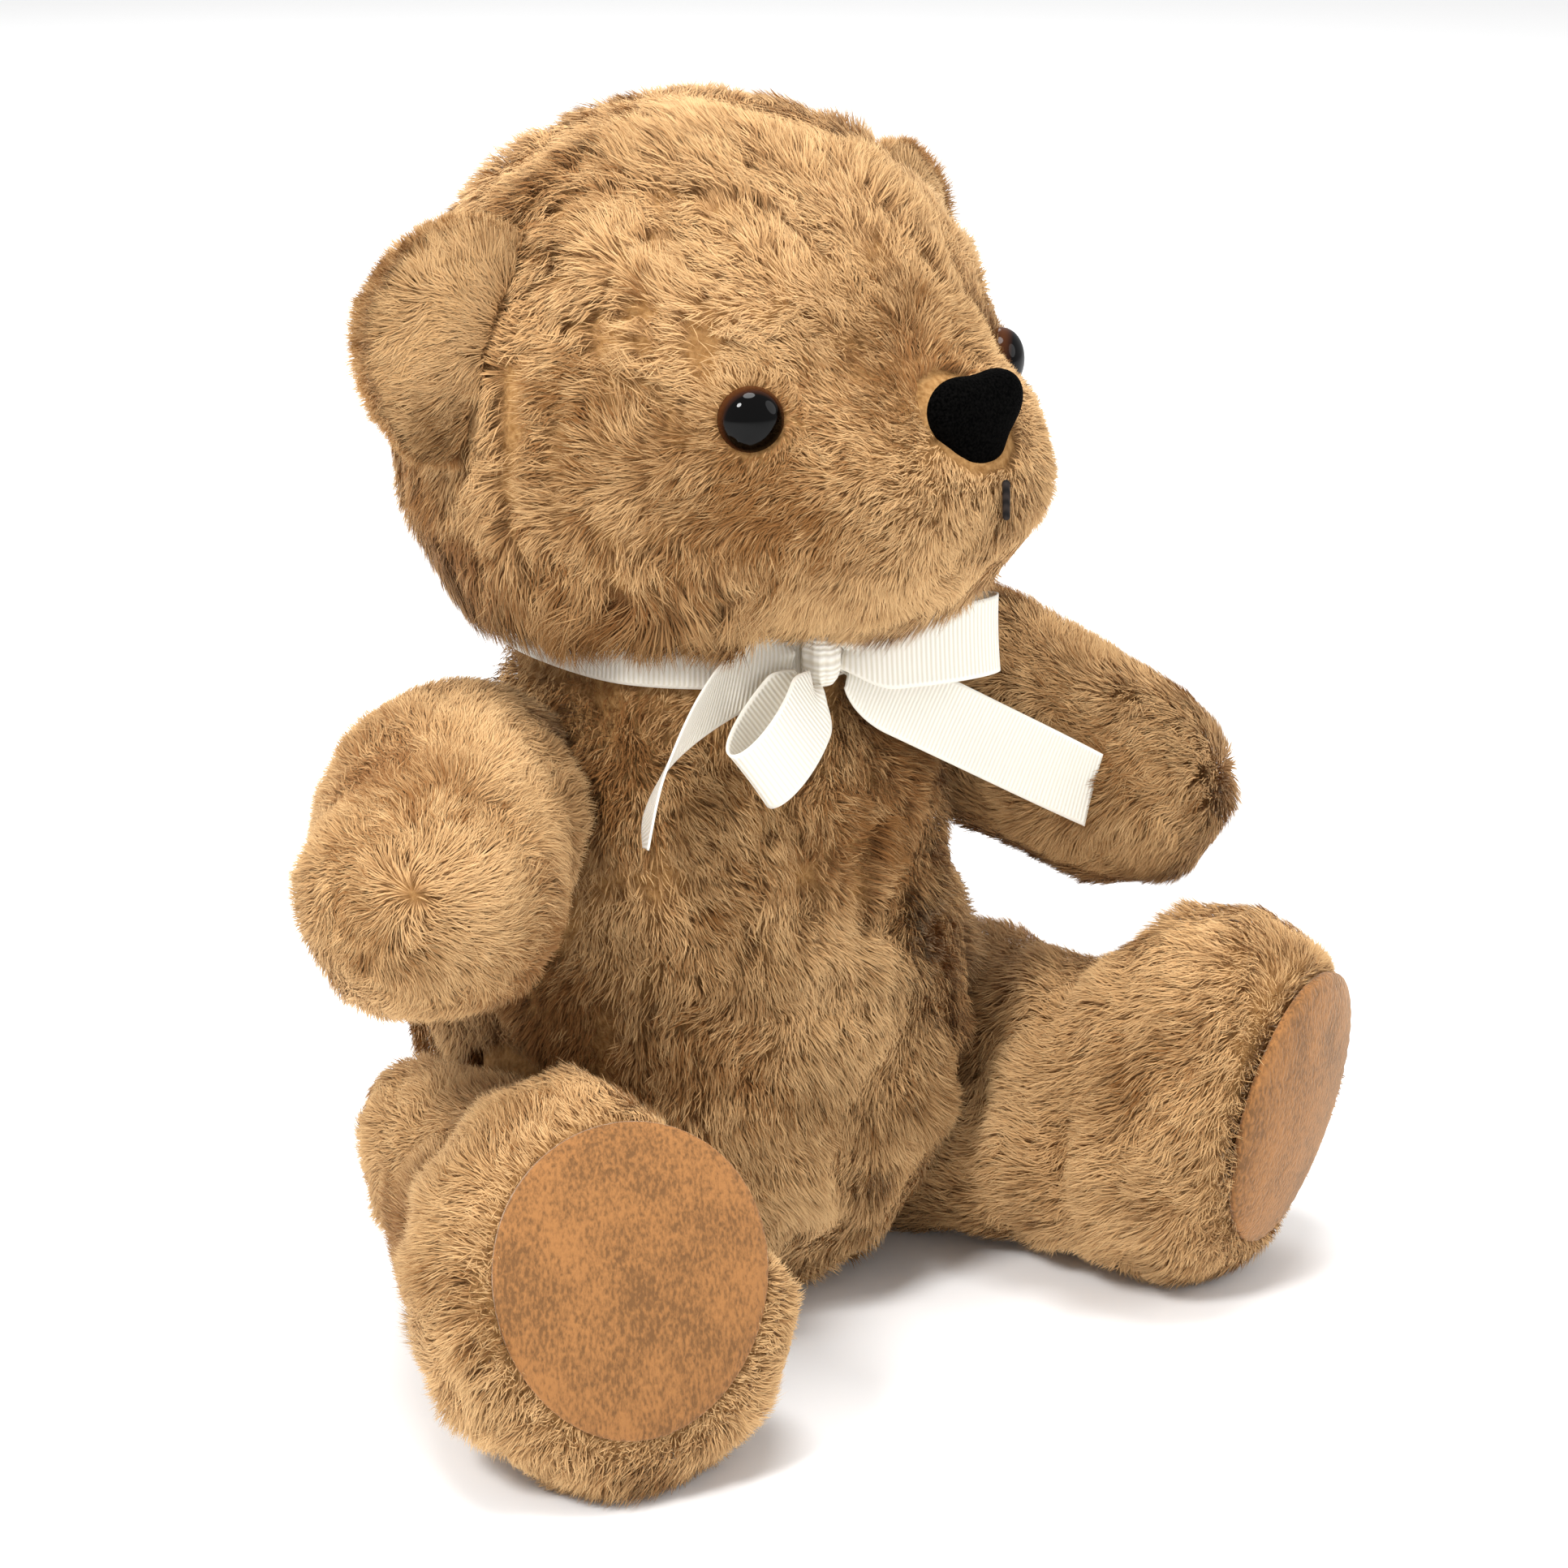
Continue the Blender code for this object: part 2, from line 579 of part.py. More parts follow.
def ear(bench, form, side, head_shape):
    """A flat rounded flap sewn to the head's side, its root cut to the head's surface."""
    name = "ear_" + ("left" if side > 0 else "right")
    out = head_turn() @ Vector((side * math.cos(EAR_SWEEP), math.sin(EAR_SWEEP), 0.12))
    start = head_point(0, EAR_FORWARD, EAR_UP)
    root = start + out * reach(form, start, out)
    spot = place(root, out)
    bm = bmesh.new()
    bmesh.ops.create_uvsphere(bm, u_segments=24, v_segments=16, radius=1)
    for vert in bm.verts:
        swell = 1 - 0.25 * max(0.0, vert.co.z) ** 2
        vert.co = Vector((vert.co.x * EAR_THICK / 2 * swell, vert.co.y * EAR_HEIGHT / 2,
                          vert.co.z * EAR_REACH))
    flap = bench.add(name, mesh_of(bm, name), plush(), spot)
    cut(flap, head_shape)


def head(bench):
    form = head_form()
    origin = Vector((0, 0, NECK_Z))
    bench.body("head_pivot", origin)
    shell = skin(bench, "head", form, origin, HEAD_MESH, CAVITY_MESH)
    core = fill(bench, "head", form, origin, CAVITY_MESH)
    neck = (origin, UP)
    cut(shell, joint_hole(bench, "head_post", *neck, FIT_GAP, NECK_DISC, 1, DISC_THICK))
    cut(core, disc_pocket(bench, "neck", *neck, NECK_DISC))
    disc_joint(bench, "neck", *neck, NECK_DISC)
    for side in (1, -1):
        seats, room = eye(bench, form, side)
        cut(shell, *seats)
        cut(core, room)
    holes, room = nose(bench, form)
    cut(shell, *holes)
    cut(core, room)
    mouth_stitch(bench, form)
    outline = bench.cutter("head_outline", form_mesh("head", form, *HEAD_MESH, origin, -FIT_GAP),
                           Matrix.Translation(origin))
    for side in (1, -1):
        ear(bench, form, side, outline)


# ---------------------------------------------------------------- torso and limbs

def torso(bench):
    form = torso_form()
    bench.body("torso_pivot", CENTRE)
    shell = skin(bench, "torso", form, CENTRE, TORSO_MESH, CAVITY_MESH)
    core = fill(bench, "torso", form, CENTRE, CAVITY_MESH)
    spots = [("neck", Vector((0, 0, NECK_Z)), UP, NECK_DISC)]
    for side, tag in ((1, "left"), (-1, "right")):
        spots.append(("shoulder_" + tag, *shoulder(side), SHOULDER_DISC))
        spots.append(("hip_" + tag, *hip(side), HIP_DISC))
    for name, at, way, disc in spots:
        cut(shell, joint_hole(bench, name, at, way, PIVOT_GAP, disc, -1, WASHER_THICK))
        cut(core, washer_pocket(bench, name, at, way, disc))
        washer(bench, name + "_washer", at, way, disc)
    return form


def limb(bench, name, form, at, way, disc, fine, coarse):
    bench.body(name + "_pivot", at)
    shell = skin(bench, name, form, at, fine, coarse)
    core = fill(bench, name, form, at, coarse)
    cut(shell, joint_hole(bench, name, at, way, FIT_GAP, disc, 1, DISC_THICK))
    cut(core, disc_pocket(bench, name, at, way, disc))
    disc_joint(bench, name, at, way, disc)
    return shell


def pad_mesh(name, grow, low, crown):
    """An oval pad, low at its rim and crowned in the middle. Y is up on the sole."""
    bm = bmesh.new()
    bmesh.ops.create_cone(bm, cap_ends=True, segments=28, radius1=1, radius2=1, depth=1)
    top = [face for face in bm.faces if face.normal.z > 0.9]
    for _ in range(3):
        bmesh.ops.inset_region(bm, faces=top, thickness=0.25)
    for vert in bm.verts:
        spread = min(1.0, math.hypot(vert.co.x, vert.co.y))
        height = low if vert.co.z < 0 else crown * (1 - spread ** 2)
        egg = 1 + 0.06 * vert.co.y
        vert.co = Vector((vert.co.x * (PAD_WIDTH / 2 + grow) * egg,
                          vert.co.y * (PAD_HEIGHT / 2 + grow), height))
    return mesh_of(bm, name)


def arm(bench, side):
    name = "arm_" + ("left" if side > 0 else "right")
    limb(bench, name, arm_form(side), *shoulder(side), SHOULDER_DISC, ARM_MESH,
         LIMB_CAVITY_MESH)


def leg(bench, side):
    tag = "left" if side > 0 else "right"
    name = "leg_" + tag
    shell = limb(bench, name, leg_form(side), *hip(side), HIP_DISC, LEG_MESH,
                 LIMB_CAVITY_MESH)
    spot = place(*sole(side))
    cut(shell, bench.cutter("sole_seat_" + tag, pad_mesh(name, FIT_GAP, -PAD_THICK - FIT_GAP, 9),
                            spot))
    bench.add("foot_pad_" + tag, pad_mesh(name, 0, -PAD_THICK, PAD_CROWN), velour(), spot)


# ---------------------------------------------------------------- ribbon

def strip(bench, name, path, across, steps, wide=1):
    """A ribbon along path(t), its width along across(t), from a grid made solid."""
    bm = bmesh.new()
    bmesh.ops.create_grid(bm, x_segments=steps, y_segments=wide, size=0.5)
    for vert in bm.verts:
        t, s = vert.co.x + 0.5, vert.co.y
        vert.co = path(t) + across(t) * s
    bm.normal_update()
    middle = Vector((0, 0, NECK_Z - BAND_DROP))
    out = sum(face.normal.dot(face.calc_center_median() - middle) for face in bm.faces)
    if out < 0:
        bmesh.ops.reverse_faces(bm, faces=bm.faces)
    for face in bm.faces:
        face.smooth = True
    mesh = bpy.data.meshes.new(name)
    bm.to_mesh(mesh)
    bm.free()
    item = bench.add(name, mesh, grosgrain(), Matrix.Identity(4))
    solid = item.modifiers.new("cloth", "SOLIDIFY")
    solid.thickness = RIBBON_THICK * MM
    solid.offset = 0
    return item


def ribbon_band(bench, form):
    """The turn round the neck, as wide as the torso is there and open behind the knot."""
    middle = NECK_Z - BAND_DROP
    heights = [middle + BAND_WIDTH * share for share in (-0.5, -0.2, 0.2)]
    knot_turn = math.atan2(KNOT_SIDE, NECK_DIAMETER / 2)
    share = 1 - (KNOT_WIDTH + 1.4) / (math.pi * NECK_DIAMETER * 1.14)

    def path(t):
        angle = -math.pi / 2 + knot_turn + math.tau * (0.5 + (t - 0.5) * share) + math.pi
        ray = -Vector((math.cos(angle), math.sin(angle), 0))
        widths = [reach(form, Vector((0, 0, z)), ray) for z in heights]
        return ray * (max(widths) + RIBBON_THICK / 2 + FIT_GAP * 1.5) + UP * middle

    strip(bench, "ribbon_band", path, lambda t: UP * BAND_WIDTH, 44)
    return path(0).lerp(path(1), 0.5)


def knot(bench, at):
    bm = bmesh.new()
    bmesh.ops.create_uvsphere(bm, u_segments=16, v_segments=10, radius=1)
    for vert in bm.verts:
        vert.co = Vector([math.copysign(abs(c) ** 0.75, c) * h / 2 for c, h in
                          zip(vert.co, (KNOT_WIDTH, KNOT_DEPTH, KNOT_HEIGHT))])
    bench.add("ribbon_knot", mesh_of(bm, "ribbon_knot"), grosgrain(), Matrix.Translation(at))


def gather(share):
    """A run's width: drawn in at the knot, and full a third of the way along."""
    grown = min(1.0, share * 3)
    return RIBBON_WIDTH * (GATHERED + (1 - GATHERED) * math.sin(grown * math.pi / 2))


def loop(bench, name, knot_at, out, wide, start, length):
    """A bow loop: out from the knot, round a turn, and back behind itself."""
    out = out.normalized()
    wide = (wide - out * wide.dot(out)).normalized()
    deep = wide.cross(out).normalized()
    deep = deep if deep.y < 0 else -deep

    def path(t):
        far = (1 - math.cos(math.tau * t)) / 2
        swell = math.sin(math.tau * t) * far ** 0.3 + 0.95 * far ** 0.5
        depth = LOOP_OPEN * swell + 0.9 * math.cos(math.pi * t)
        return knot_at + out * (start + (length - start) * far) + deep * depth

    strip(bench, name, path,
          lambda t: wide * gather((1 - math.cos(math.tau * t)) / 2), 24)


def tail(bench, name, route, widths):
    """A free end: a smooth run through its points, its width turning from way to way."""
    last = len(route) - 1

    def blend(items, t):
        i = min(int(t * last), last - 1)
        f = t * last - i
        a, b = items[max(i - 1, 0)], items[min(i + 2, last)]
        p, q = items[i], items[i + 1]
        return (p * 2 + (q - a) * f + (a * 2 - p * 5 + q * 4 - b) * f * f
                + (p * 3 - a - q * 3 + b) * f ** 3) / 2

    strip(bench, name, lambda t: blend(route, t),
          lambda t: blend(widths, t).normalized() * gather(t), 16)


def ribbon(bench, form):
    gap_at = ribbon_band(bench, form)
    at = gap_at + Vector((0, -KNOT_DEPTH / 2 + RIBBON_THICK, 0))
    knot(bench, at)
    loop(bench, "ribbon_loop_left", at + Vector((0, -0.5, 0.5)), Vector((1, -0.02, -0.03)),
         Vector((0, 0.1, 1)), KNOT_WIDTH / 2 + 0.7, LEFT_LOOP)
    loop(bench, "ribbon_loop_right", at + Vector((0, -1, -1)), Vector((-0.80, -0.12, -0.60)),
         Vector((0.62, 0, -0.78)), KNOT_HEIGHT / 2 - 0.6, RIGHT_LOOP)
    fall = Vector((0.86, -0.02, -0.50))
    across = Vector((0.50, 0, 0.86))
    shares = (0.085, 0.35, 0.7, 1)
    tail(bench, "ribbon_tail_left",
         [at + fall * LEFT_TAIL * k + Vector((0, -1.5, -0.6)) for k in shares],
         [across, across, across, Vector((0.3, 0, 0.95))])
    bend = ((-0.09, 0.04, 0.01), (-0.33, 0.05, -0.04), (-0.57, 0.02, -0.17),
            (-0.72, 0, -0.37), (-0.76, 0, -0.56))
    tail(bench, "ribbon_tail_right", [at + Vector(point) * RIGHT_TAIL for point in bend],
         [Vector(way) for way in ((0.1, 0.1, 1), (0.3, 0.1, 0.95), (0.2, -0.3, 0.9),
                                  (-0.2, -0.7, 0.7), (-0.5, -0.8, 0.3))])


def main():
    clear_scene()
    bench = Bench()
    form = torso(bench)
    ribbon(bench, form)
    head(bench)
    for side in (1, -1):
        arm(bench, side)
        leg(bench, side)


if __name__ == "__main__":
    main()
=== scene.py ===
"""A jointed teddy bear in long golden plush, seated, with velour soles and a ribbon bow.

The skins are smooth merged forms, and the pile on them is real geometry: a narrow tapered
blade for each lock of fibres, combed, clumped and curled in arrays. Sizes are written in
millimetres in the body of the file and turned to metres as a mesh is made.
"""

import math
from collections import namedtuple

import bpy
import numpy as np
from bpy.props import FloatProperty, FloatVectorProperty, IntProperty, PointerProperty
from mathutils import Matrix


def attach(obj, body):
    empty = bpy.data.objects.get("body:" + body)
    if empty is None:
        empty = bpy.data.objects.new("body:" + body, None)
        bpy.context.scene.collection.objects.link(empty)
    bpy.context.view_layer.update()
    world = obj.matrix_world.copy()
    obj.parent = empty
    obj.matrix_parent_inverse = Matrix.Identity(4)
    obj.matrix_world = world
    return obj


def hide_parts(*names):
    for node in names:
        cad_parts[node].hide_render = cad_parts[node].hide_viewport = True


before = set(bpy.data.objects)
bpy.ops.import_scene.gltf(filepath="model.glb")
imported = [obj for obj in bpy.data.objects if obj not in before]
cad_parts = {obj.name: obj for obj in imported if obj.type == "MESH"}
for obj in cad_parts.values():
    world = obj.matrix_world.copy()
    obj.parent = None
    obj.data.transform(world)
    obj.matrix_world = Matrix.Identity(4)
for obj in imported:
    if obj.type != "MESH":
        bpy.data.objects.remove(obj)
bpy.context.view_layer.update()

bl_info = {
    "name": "Jointed Teddy Bear",
    "version": (1, 0, 0),
    "blender": (4, 5, 0),
    "location": "View3D > Sidebar > Teddy Bear",
    "description": "Builds a plush jointed teddy bear round its packed frame",
    "category": "Add Mesh",
}

MM = 0.001
UP = np.array((0.0, 0.0, 1.0))
SIDES = (("left", 1), ("right", -1))
PILE_MAP, CLOTH_MAP = "OFBake", "cloth"


# ---- sizes a user may change

class PlushSizes(bpy.types.PropertyGroup):
    """The pile on the skins."""
    pile: FloatProperty(name="Pile length", description="Length of a lock of fibres",
                        default=0.0074, unit="LENGTH")
    loft: FloatProperty(name="Loft", description="How high the pile stands off the backing",
                        default=0.0038, unit="LENGTH")
    width: FloatProperty(name="Lock width", description="Width of one lock at its root",
                         default=0.00025, unit="LENGTH")
    density: FloatProperty(name="Density", description="Share of the full number of locks",
                           default=1.0, min=0.02, max=1.0, subtype="FACTOR")
    clump: FloatProperty(name="Clumping", description="How far tips gather into tufts",
                         default=0.38, min=0.0, max=1.0, subtype="FACTOR")
    seed: IntProperty(name="Seed", description="Seed of the combing", default=7)


class PlushColours(bpy.types.PropertyGroup):
    """Colours of the pile and the soles, as sRGB."""
    root: FloatVectorProperty(name="Root", description="Pile colour at the backing",
                              subtype="COLOR", default=(0.70, 0.52, 0.335))
    middle: FloatVectorProperty(name="Middle", description="Pile colour half way up",
                                subtype="COLOR", default=(0.83, 0.66, 0.455))
    tip: FloatVectorProperty(name="Tip", description="Pile colour at the tips",
                             subtype="COLOR", default=(0.92, 0.775, 0.57))
    sole: FloatVectorProperty(name="Sole", description="Velour of the soles",
                              subtype="COLOR", default=(0.56, 0.385, 0.22))


class BowSizes(bpy.types.PropertyGroup):
    """The ribbon."""
    width: FloatProperty(name="Ribbon width", description="Width of the ribbon",
                         default=0.016, unit="LENGTH")
    thickness: FloatProperty(name="Ribbon thickness", description="Thickness of the ribbon",
                             default=0.00045, unit="LENGTH")
    rib: FloatProperty(name="Rib pitch", description="Distance from one rib to the next",
                       default=0.00105, unit="LENGTH")


class StudioSizes(bpy.types.PropertyGroup):
    """The camera."""
    azimuth: FloatProperty(name="Azimuth", description="Camera's turn from straight ahead",
                           default=math.radians(37.4), unit="ROTATION")
    elevation: FloatProperty(name="Elevation", description="Camera's height angle",
                             default=math.radians(18.5), unit="ROTATION")
    distance: FloatProperty(name="Distance", description="Camera to its target",
                            default=0.900, unit="LENGTH")
    lens: FloatProperty(name="Lens", description="Focal length on a 36 mm sensor",
                        default=93.2)


# ---- small mathematics

def unit(vector):
    """A vector, or each row of an array, divided by its own length."""
    vector = np.asarray(vector, float)
    return vector / np.maximum(np.linalg.norm(vector, axis=-1, keepdims=True), 1e-12)


def dot(a, b):
    """Rows' scalar products, as a column."""
    return np.sum(a * b, axis=-1, keepdims=True)


def away(points, centre):
    """How far points lie from a centre, as a column."""
    return np.linalg.norm(points - centre, axis=1, keepdims=True)


def smooth_step(low, high, value):
    """0 below low, 1 above high, and 3s squared less 2s cubed between them."""
    share = np.clip((value - low) / (high - low), 0, 1)
    return share * share * (3 - 2 * share)


def axes_along(axis, near=UP):
    """Three unit columns: the third along axis, the second as near to a direction as it goes."""
    z = unit(axis)
    near = np.array((0.0, 1.0, 0.0)) if abs(z @ near) > 0.99 else np.asarray(near, float)
    x = unit(np.cross(near, z))
    return np.stack([x, np.cross(z, x), z], axis=1)


def turned(vectors, about, angles):
    """Rodrigues' rule: each row turned round its own unit axis by its own angle."""
    c, s = np.cos(angles), np.sin(angles)
    return vectors * c + np.cross(about, vectors) * s + about * dot(about, vectors) * (1 - c)


def waves(points, size, rng, count=9):
    """Smooth noise from -1 to 1: a mean of sines along random ways, about size mm long."""
    ways = unit(rng.normal(size=(count, 3)))
    ways = ways * (math.tau / (size * rng.uniform(0.7, 1.6, (count, 1))))
    lags = rng.uniform(0, math.tau, count)
    return np.sin(points @ ways.T + lags).sum(1, keepdims=True) / math.sqrt(count / 2)


# ---- meshes

def new_piece(name, points, faces, body, made, uv=None, uv_name=CLOTH_MAP, normals=None):
    """Arrays into an object at the origin, in one material. Points are in mm; faces is a list
    of index arrays with three or four corners to a row; uv has one row for each point."""
    mesh = bpy.data.meshes.new(name)
    corners = np.concatenate([f.ravel() for f in faces]).astype(np.int32)
    sizes = np.concatenate([np.full(len(f), f.shape[1]) for f in faces]).astype(np.int32)
    mesh.vertices.add(len(points))
    mesh.vertices.foreach_set("co", (points * MM).astype(np.float32).ravel())
    mesh.loops.add(len(corners))
    mesh.loops.foreach_set("vertex_index", corners)
    mesh.polygons.add(len(sizes))
    starts = np.concatenate([[0], np.cumsum(sizes)[:-1]]).astype(np.int32)
    mesh.polygons.foreach_set("loop_start", starts)
    mesh.polygons.foreach_set("use_smooth", np.full(len(sizes), True))
    mesh.update(calc_edges=True)
    if uv is not None:
        layer = mesh.uv_layers.new(name=uv_name)
        layer.data.foreach_set("uv", uv[corners].astype(np.float32).ravel())
    if normals is not None:
        mesh.normals_split_custom_set_from_vertices(normals)
    mesh.validate()
    mesh.materials.append(made)
    piece = bpy.data.objects.new(name, mesh)
    bpy.context.scene.collection.objects.link(piece)
    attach(piece, body)
    return piece


def ball_faces(along, around):
    """Faces of a ball's grid: a pole, along - 1 rings of around points, and a pole."""
    ring = 1 + np.arange((along - 1) * around).reshape(along - 1, around)
    after = np.roll(ring, -1, axis=1)
    walls = np.stack([ring[:-1], ring[1:], after[1:], after[:-1]], -1).reshape(-1, 4)
    last = (along - 1) * around + 1
    top = np.stack([np.zeros(around, int), ring[0], after[0]], -1)
    foot = np.stack([np.full(around, last), after[-1], ring[-1]], -1)
    return [walls, np.concatenate([top, foot])]


def ball_rays(along, around):
    """Unit vectors of that grid, with the angle from the pole and the turn round it."""
    polar = np.repeat(np.linspace(0, math.pi, along + 1)[1:-1], around)
    turn = np.tile(np.arange(around) * math.tau / around, along - 1)
    flat = np.sin(polar)
    rows = np.stack([flat * np.cos(turn), flat * np.sin(turn), np.cos(polar)], -1)
    return np.concatenate([[(0, 0, 1)], rows, [(0, 0, -1)]])


def point_normals(points, faces):
    """At each point, the sum of its faces' normals, each as long as its face is wide."""
    total = np.zeros_like(points)
    for f in faces:
        a, b, c = points[f[:, 0]], points[f[:, 1]], points[f[:, -1]]
        way = np.cross(b - a, c - a)
        for k in range(f.shape[1]):
            np.add.at(total, f[:, k], way)
    return unit(total)


# ---- the bear's forms

Ball = namedtuple("Ball", "at half turn square", defaults=(np.eye(3), 2.0))
Form = namedtuple("Form", "at turn balls faces merge")

HEAD_Z, NECK_Z, HEAD_TURN = 194.0, 156.0, math.radians(9)
SHOULDER, SHOULDER_TILT = (50.0, -4.0, 114.0), math.radians(20)
HIP, HIP_TILT = (45.0, -6.0, 42.0), math.radians(-30)
SOLES = {1: ((90.0, -91.0, 39.0), math.radians(-9)), -1: ((-78.0, -84.0, 44.0), math.radians(14))}
TOES_OUT = math.radians(22)
PAW_DROP = {1: 13.0, -1: 1.0}
SOLE_WIDTH, SOLE_HEIGHT = 54.0, 62.0
NOSE_RISE, EYE_RISE, EYE_SPREAD = 7.5, 9.5, math.radians(36)
GAP = 0.15               # half the clearance between a limb and the torso
# locks of pile on each surface at full density
LOCKS = {"head": 268000, "ear": 40000, "torso": 244000, "arm": 76000, "leg": 94000}
# radii of the bare round patches where the joints' faces meet
HEAD_PATCH, NECK_PATCH, SHOULDER_PATCH, ARM_PATCH, HIP_PATCH = 40, 34, 19, 20, 26


def ball_gap(points, ball):
    """How far points lie outside a stretched ball, by its superellipse radius."""
    local = np.abs((points - ball.at) @ ball.turn) / ball.half
    return ((local ** ball.square).sum(1) ** (1 / ball.square) - 1) * min(ball.half)


def form_gap(points, form):
    """The balls' gaps joined by a soft minimum, minus merge times the log of their summed
    exponentials, so that they meet in hollows."""
    gaps = np.stack([ball_gap(points, ball) for ball in form.balls])
    low = gaps.min(0)
    return low - form.merge * np.log(np.exp((low - gaps) / form.merge).sum(0))


def reach(form, start, rays):
    """How far each ray goes from a point inside: halving to the joined balls' surface, then a
    rounded cut at each flat face."""
    near, far = np.zeros(len(rays)), np.full(len(rays), 170.0)
    for _ in range(24):
        middle = (near + far) / 2
        inside = form_gap(start + rays * middle[:, None], form) < 0
        near, far = np.where(inside, middle, near), np.where(inside, far, middle)
    for at, normal, edge in form.faces:
        slope = rays @ normal
        level = np.where(slope > 0.02, ((at - start) @ normal) / np.maximum(slope, 0.02), 1e6)
        blend = np.maximum(edge - np.abs(far - level), 0) / edge
        far = np.minimum(far, level) - blend * blend * edge / 4
    return far


def form_surface(form, along, around):
    """Points, normals and faces of a form, from rays sent out on a ball's grid."""
    rays = ball_rays(along, around) @ form.turn.T
    points = form.at + rays * reach(form, form.at, rays)[:, None]
    faces = ball_faces(along, around)
    return points, point_normals(points, faces), faces


def turned_level(angle):
    """Columns turned about the upright by an angle."""
    c, s = math.cos(angle), math.sin(angle)
    return np.array(((c, -s, 0), (s, c, 0), (0, 0, 1.0)))


def head_axes():
    """The head's own left, back and up as columns."""
    return turned_level(HEAD_TURN)


def head_point(left, forward, up):
    return np.array((0, 0, HEAD_Z)) + head_axes() @ np.array((left, -forward, up), float)


def side_way(tilt, side):
    return np.array((side * math.cos(tilt), 0, math.sin(tilt)))


def neck():
    """The middle of the neck joint's faces and its way, as for the other joints below."""
    return np.array((0, 0, NECK_Z)), UP


def shoulder(side):
    return np.array(SHOULDER) * (side, 1, 1), side_way(SHOULDER_TILT, side)


def hip(side):
    return np.array(HIP) * (side, 1, 1), side_way(HIP_TILT, side)


def sole(side):
    """The sole's middle and the way that it faces."""
    at, lean = SOLES[side]
    level = np.array((side * math.sin(TOES_OUT), -math.cos(TOES_OUT), 0))
    return np.array(at), level * math.cos(lean) + UP * math.sin(lean)


def head_form():
    turn = head_axes()
    skull = Ball(head_point(0, 0, 0), (66, 62, 62.5), turn)
    muzzle = Ball(head_point(0, 51.5, -8), (38, 31, 26), turn)
    floor = (np.array((0, 0, NECK_Z + GAP)), -UP, 7.0)
    return Form(head_point(0, 18, -3), turn, (skull, muzzle), (floor,), 4.0)


def torso_form():
    belly = Ball(np.array((0, 6.0, 58.5)), (60, 57, 63.5), square=2.5)
    chest = Ball(np.array((0, -1.0, 108.0)), (55, 47, 45))
    collar = Ball(np.array((0, 0, NECK_Z - 22)), (41, 41, 44))
    faces = [(np.array((0, 0, NECK_Z - GAP)), UP, 7.0), (np.zeros(3), -UP, 2.0)]
    for side in (1, -1):
        faces += [(at - way * GAP, way, 7.0) for at, way in (shoulder(side), hip(side))]
    return Form(np.array((0, 0, 75.6)), turned_level(math.radians(3)), (belly, chest, collar),
                faces, 3.0)


def arm_ends(side):
    """The middles of an arm's top and of its paw."""
    at, way = shoulder(side)
    return at + way * 15, at + np.array((side * 41.0, -31.0, -PAW_DROP[side]))


def arm_form(side):
    at, way = shoulder(side)
    top, paw_at = arm_ends(side)
    turn = axes_along(paw_at - top)
    upper = Ball(top, (24.5, 24.5, 24.5))
    elbow = Ball((top + paw_at) / 2, (22.5, 21.5, 23), turn)
    paw = Ball(paw_at, (23, 22, 23), turn)
    return Form(elbow.at, turn, (upper, elbow, paw), ((at + way * GAP, -way, 7.0),), 6.0)


def leg_form(side):
    at, way = hip(side)
    thigh_at = at + way * 16 - UP * 3
    sole_at, sole_way = sole(side)
    foot_at = sole_at - sole_way * 20
    knee_at = (thigh_at + foot_at) / 2 - UP * 5
    foot_turn = axes_along(sole_way)
    thigh = Ball(thigh_at, (36, 36, 19), axes_along(way))
    knee = Ball(knee_at, (29, 27, 31), foot_turn)
    foot = Ball(foot_at, (38, 42, 30), foot_turn)
    faces = ((at + way * GAP, -way, 7.0), (sole_at, sole_way, 7.0), (np.zeros(3), -UP, 2.0))
    return Form(knee_at, axes_along(foot_at - thigh_at), (thigh, knee, foot), faces, 7.0)


def face_spot(turn_out, rise):
    """A point on the head at one turn from where it looks, and the way out of it."""
    level = head_axes() @ np.array((math.sin(turn_out), -math.cos(turn_out), 0))
    start = np.array((0, 0, HEAD_Z + rise))
    return start + level * reach(head_form(), start, level[None])[0], level


def ear_frame(side):
    """Where an ear's root lies, and its columns: through it, up it and out along it."""
    lean = math.radians(13)
    out = unit(head_axes() @ np.array((side * math.cos(lean), math.sin(lean), 0.12)))
    start = head_point(0, 12, 13)
    return start + out * reach(head_form(), start, out[None])[0], axes_along(out)


def ear_surface(side, along, around):
    """A flat rounded flap: a ball squeezed to 13 mm, 46 mm tall and reaching out 22 mm."""
    root, turn = ear_frame(side)
    rays = ball_rays(along, around)
    swell = 1 - 0.25 * np.maximum(rays[:, 2:], 0) ** 2
    local = rays * (6.5, 23, 22)
    local[:, :1] *= swell
    points = root + local @ turn.T
    faces = ball_faces(along, around)
    return points, point_normals(points, faces), faces


# ---- combing

def head_comb(points):
    """Back from the nose over the whole head, then down the nape and the cheeks."""
    nose_at, _ = face_spot(0, NOSE_RISE)
    fall = smooth_step(60, 125, away(points, nose_at)) * 0.9
    low = smooth_step(NECK_Z + 30, NECK_Z + 6, points[:, 2:])
    return unit(points - nose_at) * (1 - fall) - UP * (fall + 2.2 * low)


def torso_comb(points):
    """Down the body, parted along the seam at the middle of the front."""
    across, back, up = points[:, :1], points[:, 1:2], points[:, 2:]
    part = np.exp(-np.abs(across) / 7) * np.sign(across + 1e-6) * (back < 0)
    part = part * smooth_step(84, 118, up)
    under = smooth_step(26, 4, up)
    out = unit(points * (1, 1, 0) - (0, 6, 0))
    return -UP * (1 - 0.8 * under) + part * (0.7, 0, 0) + 0.35 * under * out


